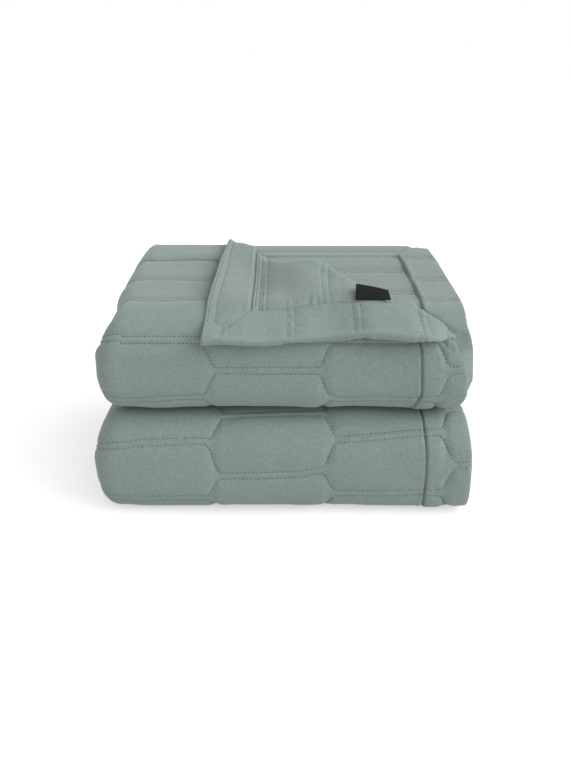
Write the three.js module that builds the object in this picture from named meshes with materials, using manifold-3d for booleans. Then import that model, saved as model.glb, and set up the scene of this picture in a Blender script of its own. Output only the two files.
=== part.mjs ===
// A quilted bedspread folded into a thick pack of four runs, with one corner of its top ply turned back
// and a small woven label sewn in at the hem of that corner.
//
// Units are millimetres. X points right, Y points to the back and Z up. The origin is on the surface that
// the pack lies on, at the middle of its footprint. A place on the pack is given by three distances:
// x across the pack, along its face from the free end of the top run, and depth in from that face.
// The Y values of the sizes below are counted from a line near the middle of the pack.

import * as THREE from "three";
import { mergeVertices } from "three/addons/utils/BufferGeometryUtils.js";
import Module from "manifold-3d";

const wasm = await Module();
wasm.setup();

// Driving sizes of the pack: each run is twelve plies thick
const RUN = 50.2;
const PLIES = 12;
const GAP = 2.6;
const LEFT_EDGE = -183;
const RIGHT_EDGE = 180;
const UPPER_FRONT = -137.5;
const LOWER_FRONT = -143.5;
const MIDDLE_BACK = 113;
const TOP_END = 102;
const BOTTOM_END = 105;
const END_LIFT = 10;
const END_LIFT_LENGTH = 170;
const CORNER_DROP = { share: 0.75, from: -120, length: 60 };
const LOWER_SPREAD = 0.03;
const LOWER_MOVE = -1.5;

// The cloth
const PLY = RUN / PLIES;
const HEM_PLY = 6.4;
const HEM = 43;

// The quilting: rows of stitching that step up and down in turn from one column of cells to the next
const REPEAT = 62.5;
const STEP = 12.1;
const COLUMN_EDGES = [-72, 38, 151];
const STEP_WIDTH = 15;
const GROOVE = 2.6;
const GROOVE_WIDTH = 5.5;
const ROW_FRACTIONS = [0, 0.17, 0.5, 0.83];
const UPPER_PHASE = 36.4;
const LOWER_PHASE = 38.4;
const LOWER_TILT = -0.035;
const LOWER_SHIFT = 5.5;
const SEAM_SHARE = 0.8;
const STRAIGHT_DEPTH = 20;
const BARED_SQUEEZE = 0.05;
const BARED_RISE = 5;
const BARED_RISE_LENGTH = 150;
const BARED_RELIEF = 0.4;
const BARED_MARGIN = 10;
const HIDDEN_MARGIN = 45;
const CURVE_MARGIN = 12;
const BACK_STEPS = 10;

// The turned-back corner
const CORNER_LEG = 241;
const TOP_PLY_INSET = 11;
const CORNER_SIDE = 164;
const CORNER_END = 8;
const ROLL = 5.6;
const END_ROLL = 3.4;
const END_ROLL_LENGTH = 60;
const ROOT_START = 17;
const ROOT_DEPTH = 6.4;
const ROOT_SINK = 0.4;
const SAG = 62;
const FLAP_CLEAR = 1;
const ROOT_DROP = 2.8;
const FRONT_LIFT = 14;
const FRONT_LIFT_START = 196;
const FRONT_LIFT_LENGTH = 53;
const FRONT_SHORT = 9;
const FRONT_SHORT_SHARE = 0.2;
const EDGE_DRAW = 7;
const FLAP_LINES = [0, 4, 24, 42, 44.5, 66, 89, 112.5, 136, 159, 180.5, 183, 201, 221, 225];
const ROLL_DISTANCES = [7, 3.5, 0, -3.5, -7, -12, -26, -40];

// The label, placed on the turned corner by its distances from the end edge and the side edge. Its free
// edge stands up from the cloth, more on the left than on the right.
const LABEL = {
  from: 144, to: 178, inner: 45, outer: 60, thickness: 0.9, clear: 0.6, columns: 6, rows: 3,
};
const LABEL_RISE = { from: 5, to: 1 };

const MERGE_DISTANCE = 1e-3;
const TOP_END_PARTINGS = [1, 2, 4, 6, 8, 10];
const WEDGE = { past: 2, open: 1.6, deep: 7, reach: 220 };

const CLOTH = new THREE.MeshStandardMaterial({ color: 0x8c9c95, roughness: 0.92, metalness: 0 });
const WOVEN_BLACK = new THREE.MeshStandardMaterial({ color: 0x14161a, roughness: 0.7, metalness: 0 });

const NOSE_RADIUS = RUN + GAP / 2;
const PITCH = RUN + GAP;
const HALF_REPEAT = REPEAT / 2;

// Each nose is a half turn whose section is squarer than a circle; the powers are for its upper and
// lower half
const UPPER_NOSE = { y: UPPER_FRONT + NOSE_RADIUS, z: 3 * PITCH - GAP / 2, facing: -1, powers: [2.4, 3.1] };
const BACK_NOSE = { y: MIDDLE_BACK - NOSE_RADIUS, z: 2 * PITCH - GAP / 2, facing: 1, powers: [2.4, 2.4] };
const LOWER_NOSE = { y: LOWER_FRONT + NOSE_RADIUS, z: PITCH - GAP / 2, facing: -1, powers: [3, 3.5] };

function smooth(value) {
  const t = Math.min(1, Math.max(0, value));
  return t * t * (3 - 2 * t);
}

// How far a squared half turn stands out from a circle at an angle above its middle
function squareness(nose, angle) {
  const power = nose.powers[angle >= 0 ? 0 : 1];
  const sum = Math.abs(Math.cos(angle)) ** power + Math.abs(Math.sin(angle)) ** power;
  return sum ** (-1 / power);
}

function nosePoint(nose, angle, radius) {
  const reach = radius * squareness(nose, angle) ** (radius / NOSE_RADIUS);
  return { y: nose.y + nose.facing * reach * Math.cos(angle), z: nose.z + reach * Math.sin(angle) };
}

// A table of the length round the outside of a nose, from its top to each of many even angles
function noseTable(nose, steps = 64) {
  const table = [{ angle: Math.PI / 2, length: 0 }];
  for (let step = 1; step <= steps; step += 1) {
    const angle = Math.PI * (0.5 - step / steps);
    const here = nosePoint(nose, angle, NOSE_RADIUS);
    const before = nosePoint(nose, table.at(-1).angle, NOSE_RADIUS);
    table.push({ angle, length: table.at(-1).length + Math.hypot(here.y - before.y, here.z - before.z) });
  }
  return table;
}

function angleAt(table, length) {
  const next = Math.max(1, table.findIndex((row) => row.length >= length));
  const [low, high] = [table[next - 1], table[next]];
  return low.angle + ((high.angle - low.angle) * (length - low.length)) / (high.length - low.length);
}

// The route of the pack's face: top run, upper nose, second run, back nose, third run, lower nose and
// bottom run. A run goes straight from one Y to another; up is the side that its face looks to.
function makeRoute() {
  const stretches = [
    { name: "top", from: TOP_END, to: UPPER_NOSE.y, z: 4 * RUN + 3 * GAP, up: 1 },
    { name: "upper nose", nose: UPPER_NOSE, table: noseTable(UPPER_NOSE) },
    { name: "second", from: UPPER_NOSE.y, to: BACK_NOSE.y, z: 2 * PITCH, up: -1 },
    { name: "back nose", nose: BACK_NOSE },
    { name: "third", from: BACK_NOSE.y, to: LOWER_NOSE.y, z: 2 * RUN + GAP, up: 1 },
    { name: "lower nose", nose: LOWER_NOSE, table: noseTable(LOWER_NOSE) },
    { name: "bottom", from: LOWER_NOSE.y, to: BOTTOM_END, z: 0, up: -1 },
  ];
  let start = 0;
  for (const stretch of stretches) {
    stretch.start = start;
    if (stretch.table) stretch.length = stretch.table.at(-1).length;
    else if (stretch.nose) stretch.length = (Math.PI * GAP) / 2;
    else stretch.length = Math.abs(stretch.to - stretch.from);
    start += stretch.length;
  }
  return stretches;
}

const ROUTE = makeRoute();
const [TOP, , SECOND, BACK, THIRD, , BOTTOM] = ROUTE;
const [, UPPER, , , , LOWER] = ROUTE;

// The zones that show stitching: from the top run round the upper nose, and round the lower nose
const UPPER_ZONE = { start: TOP.start, firstLine: 0, lastLine: 10, phase: UPPER_PHASE, tilt: 0, shift: 0 };
const LOWER_ZONE = {
  start: LOWER.start, firstLine: 0, lastLine: 3, phase: LOWER_PHASE, tilt: LOWER_TILT, shift: LOWER_SHIFT,
};

// The Y and Z of a place on the route
function routePoint(along, depth) {
  const stretch = ROUTE.findLast((item) => along >= item.start) ?? TOP;
  const distance = along - stretch.start;
  if (stretch.table) {
    const angle = angleAt(stretch.table, Math.min(distance, stretch.length));
    return nosePoint(stretch.nose, angle, NOSE_RADIUS - depth);
  }
  if (stretch.nose) {
    return nosePoint(stretch.nose, Math.PI * (0.5 - distance / stretch.length), GAP / 2 + depth);
  }
  return {
    y: stretch.from + Math.sign(stretch.to - stretch.from) * distance,
    z: stretch.z - stretch.up * depth,
  };
}

function place(x, along, depth) {
  const { y, z } = routePoint(along, depth);
  const corner = CORNER_DROP.share * smooth((CORNER_DROP.from - x) / CORNER_DROP.length);
  const lift = END_LIFT * smooth((y - TOP_END + END_LIFT_LENGTH) / END_LIFT_LENGTH) * (1 - corner);
  const topShare = Math.max(0, (z - 3 * PITCH) / RUN);
  const lowerShare = 1 - smooth((z - PITCH) / PITCH);
  return [x + (x * LOWER_SPREAD + LOWER_MOVE) * lowerShare, y, z + lift * topShare];
}

// The step of the stitching across the columns: 1 in the first column, -1 in the second, and so on
function columnStep(x) {
  let step = 1;
  COLUMN_EDGES.forEach((edge, index) => {
    const change = smooth((x - edge) / STEP_WIDTH + 0.5);
    step += (index % 2 ? 2 : -2) * change;
  });
  return step;
}

// One row of the quilted face, a whole number at a line of stitching and a fraction between two lines
function quiltRow(zone, number) {
  const line = (index, x) => {
    const side = index % 2 ? -1 : 1;
    const shift = zone.phase + zone.tilt * x;
    return zone.start + shift + index * HALF_REPEAT + side * STEP * columnStep(x - zone.shift);
  };
  const below = Math.floor(number);
  const fraction = number - below;
  const along = (x) => line(below, x) * (1 - fraction) + line(below + 1, x) * fraction;
  const stitchDistance = (x) => {
    const width = line(below + 1, x) - line(below, x);
    const slope = (columnStep(x + 1) - columnStep(x - 1)) * (STEP / 2);
    return (Math.min(fraction, 1 - fraction) * width) / Math.hypot(1, slope);
  };
  return { along, stitchDistance };
}

// The rows of a zone start and end halfway between two lines of stitching, where a row is straight
function quiltRows(zone) {
  const rows = [];
  for (let line = zone.firstLine - 1; line <= zone.lastLine; line += 1) {
    for (const fraction of ROW_FRACTIONS) {
      const number = line + fraction;
      const inside = number >= zone.firstLine - 0.5 && number <= zone.lastLine + 0.5;
      if (inside) rows.push(quiltRow(zone, number));
    }
  }
  return rows;
}

// Straight rows without stitching, evenly spaced from one place on the route to another
function plainRows(from, to, steps) {
  return Array.from({ length: steps + 1 }, (_, step) => {
    const along = from + ((to - from) * step) / steps;
    return { along: () => along, stitchDistance: () => Infinity };
  });
}

// All rows from the free end of the top run to the back end of the bottom run
function packRows() {
  const bottomEnd = BOTTOM.start + BOTTOM.length;
  return [
    ...plainRows(0, 0, 1).slice(1),
    ...quiltRows(UPPER_ZONE),
    ...plainRows(SECOND.start + HIDDEN_MARGIN, BACK.start - HIDDEN_MARGIN, 1),
    ...plainRows(BACK.start, THIRD.start, BACK_STEPS),
    ...plainRows(THIRD.start + HIDDEN_MARGIN, LOWER.start - HIDDEN_MARGIN, 1),
    ...quiltRows(LOWER_ZONE),
    ...plainRows(BOTTOM.start - CURVE_MARGIN, BOTTOM.start + CURVE_MARGIN, 2),
    ...plainRows(bottomEnd - HIDDEN_MARGIN, bottomEnd, 1),
  ];
}

// Across the face: columns of points at the steps of the quilting, the hem seam and between them
const SEAM_X = RIGHT_EDGE - TOP_PLY_INSET - HEM;
const FACE_COLUMNS = [
  165, 159, 151, 143, SEAM_X + 6, SEAM_X, SEAM_X - 6, 95, 65, 46, 38, 30, 5, -35, -64, -72, -80, -115, -145,
];

// The right side, from the inner side out to the face: each row is one free end of plies or one fold of
// four plies, between two counts of plies from the face, and inset from the edge of the pack
const RIGHT_SIDE = [
  { from: 12, to: 8, inset: 1, fold: true },
  { from: 8, to: 4, inset: 0, fold: true },
  { from: 4, to: 2, inset: 3, fold: false },
  { from: 2, to: 1, inset: 1, fold: false },
  { from: 1, to: 0, inset: TOP_PLY_INSET, fold: false },
];
const NOTCH = 9;
const PLY_END = { margin: 0.25, rounding: 0 };
const PLY_FOLD = { margin: 0.6, rounding: 3 };

// The rounded left side, whose first steps still show the quilting, and the columns of the inner side
const ROUND = 23;
const ROUND_STEPS = 7;
const QUILTED_STEPS = 2;
const INNER_COLUMNS = [-100, -15, 70, 140];

// The outline of the pack across its width: face, left round, inner side and right side
function packLoop() {
  const loop = FACE_COLUMNS.map((x) => ({ x, depth: 0, face: true }));
  for (let step = 0; step <= ROUND_STEPS; step += 1) {
    const angle = (Math.PI * step) / ROUND_STEPS;
    const x = LEFT_EDGE + ROUND * (1 - Math.sin(angle));
    loop.push({ x, depth: (RUN / 2) * (1 - Math.cos(angle)), face: step < QUILTED_STEPS });
  }
  loop.push(...INNER_COLUMNS.map((x) => ({ x, depth: RUN })));
  for (const { from, to, inset, fold } of RIGHT_SIDE) {
    const edge = RIGHT_EDGE - inset;
    const { margin, rounding } = fold ? PLY_FOLD : PLY_END;
    loop.push({ x: edge - NOTCH, depth: from * PLY, top: from === 1 });
    loop.push({ x: edge - rounding, depth: (from - margin) * PLY, top: from === 1 });
    if (fold) loop.push({ x: edge, depth: ((from + to) / 2) * PLY });
    loop.push({ x: edge - rounding, depth: (to + margin) * PLY, top: from === 1 });
  }
  return loop;
}

// Beyond the fold line the top ply is turned away, which bares the ply below it
const FOLD_OFFSET = CORNER_END + CORNER_LEG - CORNER_SIDE;

function isBared(x, along) {
  return along < x + FOLD_OFFSET - BARED_MARGIN;
}

// A point of the outline on one row, with the stitching and the hem seam pressed into the face. The
// rows straighten out away from the face, and the underside of the bottom run is flat.
function packPoint(point, row) {
  const onFace = point.face || point.top;
  const share = onFace ? 1 : smooth(1 - point.depth / STRAIGHT_DEPTH);
  const straight = row.along(LEFT_EDGE);
  const along = straight + (row.along(point.x) - straight) * share;
  const bared = onFace && isBared(point.x, along);
  if (!point.face && !bared) return place(point.x, along, point.depth);
  const stitch = Math.exp(-((row.stitchDistance(point.x) / GROOVE_WIDTH) ** 2));
  const seam = Math.exp(-(((point.x - SEAM_X) / GROOVE_WIDTH) ** 2));
  const groove = along > BOTTOM.start ? 0 : GROOVE * Math.max(stitch, seam * SEAM_SHARE);
  if (!bared) return place(point.x, along, groove);
  const rise = BARED_RISE * smooth(1 - along / BARED_RISE_LENGTH);
  return place(point.x, along, PLY + point.depth * BARED_SQUEEZE - rise + groove * BARED_RELIEF);
}

// A closed skin over a list of loops, each with as many points, with a flat cap on both ends
function loftGeometry(loops) {
  const count = loops[0].length;
  const triangles = [];
  for (let row = 0; row + 1 < loops.length; row += 1) {
    for (let index = 0; index < count; index += 1) {
      const [a, b] = [row * count + index, row * count + ((index + 1) % count)];
      triangles.push(a, b, a + count, b, b + count, a + count);
    }
  }
  const lastRow = (loops.length - 1) * count;
  const flatten = (loop) => loop.map(([x, , z]) => new THREE.Vector2(x, z));
  for (const [a, b, c] of capTriangles(flatten(loops[0]))) triangles.push(a, c, b);
  for (const [a, b, c] of capTriangles(flatten(loops.at(-1)))) {
    triangles.push(lastRow + a, lastRow + b, lastRow + c);
  }
  const geometry = new THREE.BufferGeometry();
  geometry.setAttribute("position", new THREE.Float32BufferAttribute(loops.flat(2), 3));
  geometry.setIndex(triangles);
  return geometry;
}

// The triangles of a flat end, wound the way its outline runs
function capTriangles(outline) {
  const reverse = THREE.ShapeUtils.isClockWise(outline);
  const faces = THREE.ShapeUtils.triangulateShape(reverse ? [...outline].reverse() : outline, []);
  const last = outline.length - 1;
  return faces.map((face) => (reverse ? face.map((index) => last - index).toReversed() : face));
}

function packGeometry() {
  const loop = packLoop();
  return loftGeometry(packRows().map((row) => loop.map((point) => packPoint(point, row))));
}

// The fold of the turned corner, seen along the fold line. The path starts on the ply that stays, goes
// round the roll and ends on the part that lies back. It gives the distance in from the outer edge of
// the fold, the height over the face and the direction of the path.
function foldPath(distance, roll, lay) {
  const travelled = distance + (roll * Math.PI) / 2;
  const root = -PLY / 2;
  if (travelled <= 0) return { inset: roll - travelled, height: root, angle: Math.PI };
  if (travelled < roll * Math.PI) {
    const turn = travelled / roll;
    const [inset, rise] = [roll * (1 - Math.sin(turn)), roll * (1 - Math.cos(turn))];
    return { inset, height: root + rise, angle: Math.PI - turn };
  }
  const past = travelled - roll * Math.PI;
  const top = root + 2 * roll;
  return { inset: roll + past, height: top + (lay - top) * smooth(past / SAG), angle: 0 };
}

// A point of the turned corner, from its distances to the end edge and the side edge of the cloth, how
// far it stands out from the middle of the ply towards the reverse, and how high that middle lies
function flapPoint(fromEnd, fromSide, out, lay) {
  const distance = (CORNER_LEG - fromEnd - fromSide) / Math.SQRT2;
  const roll = END_ROLL + (ROLL - END_ROLL) * smooth(fromEnd / END_ROLL_LENGTH);
  const path = foldPath(distance, roll, lay);
  const inset = path.inset - out * Math.sin(path.angle);
  const height = path.height + out * Math.cos(path.angle);
  const flatX = CORNER_SIDE - fromSide - (distance + inset) / Math.SQRT2;
  const flatAlong = CORNER_END + fromEnd + (distance + inset) / Math.SQRT2;
  const front = smooth((flatAlong - FRONT_LIFT_START) / FRONT_LIFT_LENGTH);
  const drawn = EDGE_DRAW * (1 - flatAlong / CORNER_LEG) * smooth(1 - fromEnd / END_ROLL_LENGTH);
  const away = smooth(distance / SAG);
  const along = flatAlong - FRONT_SHORT * front * (1 - (1 - FRONT_SHORT_SHARE) * away);
  return place(flatX + drawn, along, -height - FRONT_LIFT * front * away);
}

// A closed thin sheet from nodes that each give a point on either side of it
function sheetGeometry(nodes, triangles) {
  const count = nodes.length;
  const faces = triangles.flatMap(([a, b, c]) => [[a, b, c], [a + count, c + count, b + count]]);
  const directed = new Map();
  for (const [a, b, c] of triangles) {
    for (const [from, to] of [[a, b], [b, c], [c, a]]) directed.set(`${from} ${to}`, [from, to]);
  }
  for (const [from, to] of directed.values()) {
    if (directed.has(`${to} ${from}`)) continue;
    faces.push([from, from + count, to], [to, from + count, to + count]);
  }
  const points = [...nodes.map((node) => node.upper), ...nodes.map((node) => node.lower)];
  const geometry = new THREE.BufferGeometry();
  geometry.setAttribute("position", new THREE.Float32BufferAttribute(points.flat(), 3));
  geometry.setIndex(faces.flat());
  return geometry;
}

function flapNode(fromEnd, fromSide) {
  const thickness = Math.min(fromEnd, fromSide) < HEM ? HEM_PLY : PLY;
  const lay = FLAP_CLEAR + thickness / 2;
  const rooted = fromEnd + fromSide > CORNER_LEG + ROOT_START;
  const beyond = (fromEnd + fromSide - CORNER_LEG - ROOT_START) / Math.SQRT2;
  const upperOut = rooted ? ROOT_DEPTH - PLY / 2 : thickness / 2;
  const sink = ROOT_SINK + ROOT_DROP * smooth(beyond / ROOT_START);
  const lowerOut = rooted ? sink - PLY / 2 : -thickness / 2;
  return {
    upper: flapPoint(fromEnd, fromSide, upperOut, lay),
    lower: flapPoint(fromEnd, fromSide, lowerOut, lay),
  };
}

// The turned corner with its roll, whose root is sunk in the ply that stays
function flapGeometry() {
  const nodes = [];
  const triangles = [];
  const leg = FLAP_LINES.at(-1);
  const last = FLAP_LINES.length - 1;
  const add = (fromEnd, fromSide) => nodes.push(flapNode(fromEnd, fromSide)) - 1;
  const grid = FLAP_LINES.map((fromEnd, row) => {
    return FLAP_LINES.slice(0, last + 1 - row).map((side) => add(fromEnd, side));
  });
  for (let row = 0; row < last; row += 1) {
    for (let column = 0; column + row < last; column += 1) {
      const [a, b, c] = [grid[row][column], grid[row + 1][column], grid[row][column + 1]];
      triangles.push([a, b, c]);
      if (column + row + 1 < last) triangles.push([b, grid[row + 1][column + 1], c]);
    }
  }
  let before = FLAP_LINES.map((fromEnd, row) => grid[row][last - row]);
  for (const distance of ROLL_DISTANCES) {
    const total = CORNER_LEG - distance * Math.SQRT2;
    const strip = FLAP_LINES.map((fromEnd) => add((total * fromEnd) / leg, total * (1 - fromEnd / leg)));
    for (let index = 0; index < last; index += 1) {
      triangles.push([before[index], strip[index + 1], strip[index]]);
      triangles.push([before[index], before[index + 1], strip[index + 1]]);
    }
    before = strip;
  }
  return sheetGeometry(nodes, triangles);
}

// The label lies on the reverse of the corner, sewn in where the hem meets it
function labelGeometry() {
  const nodes = [];
  const triangles = [];
  const lay = FLAP_CLEAR + PLY / 2;
  for (let row = 0; row <= LABEL.rows; row += 1) {
    const fromSide = LABEL.inner + ((LABEL.outer - LABEL.inner) * row) / LABEL.rows;
    for (let column = 0; column <= LABEL.columns; column += 1) {
      const fromEnd = LABEL.from + ((LABEL.to - LABEL.from) * column) / LABEL.columns;
      const share = column / LABEL.columns;
      const rise = LABEL_RISE.from + (LABEL_RISE.to - LABEL_RISE.from) * share;
      const base = PLY / 2 + LABEL.clear + (rise * row) / LABEL.rows;
      nodes.push({
        upper: flapPoint(fromEnd, fromSide, base + LABEL.thickness, lay),
        lower: flapPoint(fromEnd, fromSide, base, lay),
      });
    }
  }
  const stride = LABEL.columns + 1;
  for (let row = 0; row < LABEL.rows; row += 1) {
    for (let column = 0; column < LABEL.columns; column += 1) {
      const corner = row * stride + column;
      triangles.push([corner, corner + 1, corner + stride]);
      triangles.push([corner + 1, corner + stride + 1, corner + stride]);
    }
  }
  return sheetGeometry(nodes, triangles);
}

function toSolid(geometry) {
  const merged = mergeVertices(geometry, MERGE_DISTANCE);
  return new wasm.Manifold(new wasm.Mesh({
    numProp: 3,
    vertProperties: new Float32Array(merged.getAttribute("position").array),
    triVerts: new Uint32Array(merged.getIndex().array),
  }));
}

function toGeometry(solid) {
  const { vertProperties, triVerts } = solid.getMesh();
  const geometry = new THREE.BufferGeometry();
  geometry.setAttribute("position", new THREE.Float32BufferAttribute(vertProperties, 3));
  geometry.setIndex(Array.from(triVerts));
  return geometry;
}

// A wedge that parts two plies at a back end of the pack, from side to side
function plyWedge(backEnd, height) {
  const wedge = new THREE.Shape([
    new THREE.Vector2(backEnd + WEDGE.past, height - WEDGE.open),
    new THREE.Vector2(backEnd + WEDGE.past, height + WEDGE.open),
    new THREE.Vector2(backEnd - WEDGE.deep, height),
  ]);
  const geometry = new THREE.ExtrudeGeometry(wedge, { depth: 2 * WEDGE.reach, bevelEnabled: false });
  geometry.deleteAttribute("normal");
  geometry.deleteAttribute("uv");
  geometry.translate(0, 0, -WEDGE.reach);
  const axes = [new THREE.Vector3(0, 1, 0), new THREE.Vector3(0, 0, 1), new THREE.Vector3(1, 0, 0)];
  return geometry.applyMatrix4(new THREE.Matrix4().makeBasis(...axes));
}

// The folded cloth: its plies part a little at the free end of the top run and at the back end of the
// bottom run, where the cloth is folded in pairs of plies
function bedspreadGeometry() {
  let pack = toSolid(packGeometry());
  for (const plies of TOP_END_PARTINGS) {
    const [, , height] = place(0, 0, plies * PLY);
    pack = pack.subtract(toSolid(plyWedge(TOP_END, height)));
  }
  for (let plies = 2; plies < PLIES; plies += 2) {
    pack = pack.subtract(toSolid(plyWedge(BOTTOM_END, plies * PLY)));
  }
  return toGeometry(pack.add(toSolid(flapGeometry())));
}

function addMesh(group, name, geometry, material) {
  const mesh = new THREE.Mesh(geometry, material);
  mesh.name = name;
  group.add(mesh);
}

const part = new THREE.Group();
addMesh(part, "bedspread", bedspreadGeometry(), CLOTH);
addMesh(part, "label", labelGeometry(), WOVEN_BLACK);

// The origin moves to the middle of the footprint
const middle = new THREE.Box3().setFromObject(part).getCenter(new THREE.Vector3());
part.position.set(-middle.x, -middle.y, 0);

export default part;
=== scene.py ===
"""A quilted bedspread, folded into a thick pack with one corner of its top ply turned back.

The cloth is modelled as one thin sheet, folded the way a person folds it: crosswise in half with its
reverse sides together, then back and forth across its width, then in four runs. All sizes are in
millimetres in the pack's own drawing frame, and the finished meshes are moved to the frame of the part,
in metres, when they become objects.

A place on the cloth is given by u, the distance from its side edge, v, the distance from the end edge of
its upper layer, and how far it stands out from the middle of the ply.
"""

from __future__ import annotations

import logging
import math
from collections.abc import Callable, Iterable, Sequence
from dataclasses import dataclass, field
from enum import Enum

import bpy
import numpy as np
from mathutils import Matrix, Vector

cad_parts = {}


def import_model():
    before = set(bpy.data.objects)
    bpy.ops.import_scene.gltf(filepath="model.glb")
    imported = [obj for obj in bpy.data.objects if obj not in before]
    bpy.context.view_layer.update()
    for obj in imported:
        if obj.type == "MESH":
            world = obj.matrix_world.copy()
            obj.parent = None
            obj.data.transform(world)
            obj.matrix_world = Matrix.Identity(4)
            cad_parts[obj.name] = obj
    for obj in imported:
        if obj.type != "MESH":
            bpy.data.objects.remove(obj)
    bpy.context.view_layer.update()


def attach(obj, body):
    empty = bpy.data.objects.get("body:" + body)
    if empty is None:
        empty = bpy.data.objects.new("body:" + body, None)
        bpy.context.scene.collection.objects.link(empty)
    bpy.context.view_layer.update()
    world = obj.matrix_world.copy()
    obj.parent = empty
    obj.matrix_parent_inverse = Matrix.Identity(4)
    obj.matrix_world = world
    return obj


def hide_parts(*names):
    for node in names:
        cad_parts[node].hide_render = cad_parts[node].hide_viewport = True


Array = np.ndarray

LOG = logging.getLogger("bedspread")
BODY = "root"
MM = 0.001
PICTURE = (570, 760)
# From the drawing frame of the pack to the middle of its footprint, in millimetres
FOOTPRINT_SHIFT = (2.75, 20.6, 0.0)
HALF_TURN = math.pi


def smooth(value: Array | float) -> Array:
    """Return a soft step from 0 to 1 of a value that runs from 0 to 1."""
    t = np.clip(value, 0.0, 1.0)
    return t * t * (3.0 - 2.0 * t)


def bell(value: Array | float, width: float) -> Array:
    """Return a soft bump, 1 in the middle and almost gone at twice its width."""
    return np.exp(-((np.asarray(value) / width) ** 2))


def through(value: Array, places: Sequence[float], values: Sequence[float]) -> Array:
    """Return a smooth curve through given values.

    Args:
        value: Where the curve is wanted.
        places: Where the values are given, in rising order.
        values: The given values.

    Returns:
        The height of the curve at each wanted place, held level past its ends.
    """
    at, given = np.asarray(places, float), np.asarray(values, float)
    slopes = np.gradient(given, at)
    slopes[0] = slopes[-1] = 0.0
    inside = np.clip(value, at[0], at[-1])
    left = np.clip(np.searchsorted(at, inside, side="right") - 1, 0, len(at) - 2)
    width = at[left + 1] - at[left]
    t = (inside - at[left]) / width
    rise = t * t * (3 - 2 * t)
    bend = width * (t * (1 - t) ** 2 * slopes[left] - t * t * (1 - t) * slopes[left + 1])
    return given[left] + (given[left + 1] - given[left]) * rise + bend


@dataclass(frozen=True)
class Mark:
    """A place where lines of a grid stand closer together."""

    place: float
    step: float
    reach: float


def spaced(start: float, end: float, step: float, marks: Sequence[Mark]) -> list[float]:
    """Return places from start to end, closer together near the marks.

    Args:
        start: The first place.
        end: The last place.
        step: The distance between places away from the marks.
        marks: Where they stand closer, and how close.

    Returns:
        The places, with start and end among them.
    """
    places = [start]
    while True:
        here = places[-1]
        wanted = step
        for mark in marks:
            away = max(0.0, abs(here + wanted / 2 - mark.place) - mark.reach)
            wanted = min(wanted, mark.step + 0.3 * away)
        if here + 1.4 * wanted >= end:
            return [*places, end]
        places.append(here + wanted)


class Side(Enum):
    """The two sides of the cloth, with the sign of a height that stands out from it."""

    FACE = 1
    REVERSE = -1


@dataclass(frozen=True)
class Waves:
    """A gentle random unevenness made of plane waves, the same in each run."""

    seed: int
    longest: float
    shortest: float
    count: int = 14

    def height(self, u: Array, v: Array) -> Array:
        """Return the height, about -1 to 1, at places on the cloth.

        Args:
            u: Distances from the side edge.
            v: Distances from the end edge.

        Returns:
            One height for each place.
        """
        draw = np.random.default_rng(self.seed)
        total = np.zeros(np.broadcast(u, v).shape)
        for _ in range(self.count):
            length = draw.uniform(self.shortest, self.longest)
            heading, phase = draw.uniform(0, 2 * math.pi, 2)
            across = u * math.cos(heading) + v * math.sin(heading)
            total += np.sin(2 * math.pi * across / length + phase)
        return total / math.sqrt(self.count)


@dataclass(frozen=True)
class Nose:
    """A half turn of the route whose section is a little squarer than a circle."""

    y: float
    z: float
    facing: int
    upper_power: float
    lower_power: float
    radius: float

    def squareness(self, angle: Array) -> Array:
        """Return how far the section stands out from a circle at an angle above its middle."""
        power = np.where(angle >= 0, self.upper_power, self.lower_power)
        return (np.abs(np.cos(angle)) ** power + np.abs(np.sin(angle)) ** power) ** (-1 / power)

    def point(self, angle: Array, radius: Array) -> tuple[Array, Array]:
        """Return the Y and Z of places on the nose.

        Args:
            angle: Angles above the middle of the nose, in radians.
            radius: Distances from its axis.

        Returns:
            The Y values and the Z values.
        """
        reach = radius * self.squareness(angle) ** (radius / self.radius)
        return self.y + self.facing * reach * np.cos(angle), self.z + reach * np.sin(angle)

    def table(self, steps: int = 96) -> tuple[Array, Array]:
        """Return lengths round the outside of the nose and the angles that they reach.

        Args:
            steps: How many steps the half turn is cut into.

        Returns:
            The lengths and the angles, in order.
        """
        angles = HALF_TURN * (0.5 - np.arange(steps + 1) / steps)
        y, z = self.point(angles, np.full_like(angles, self.radius))
        lengths = np.concatenate([[0.0], np.cumsum(np.hypot(np.diff(y), np.diff(z)))])
        return lengths, angles


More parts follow.
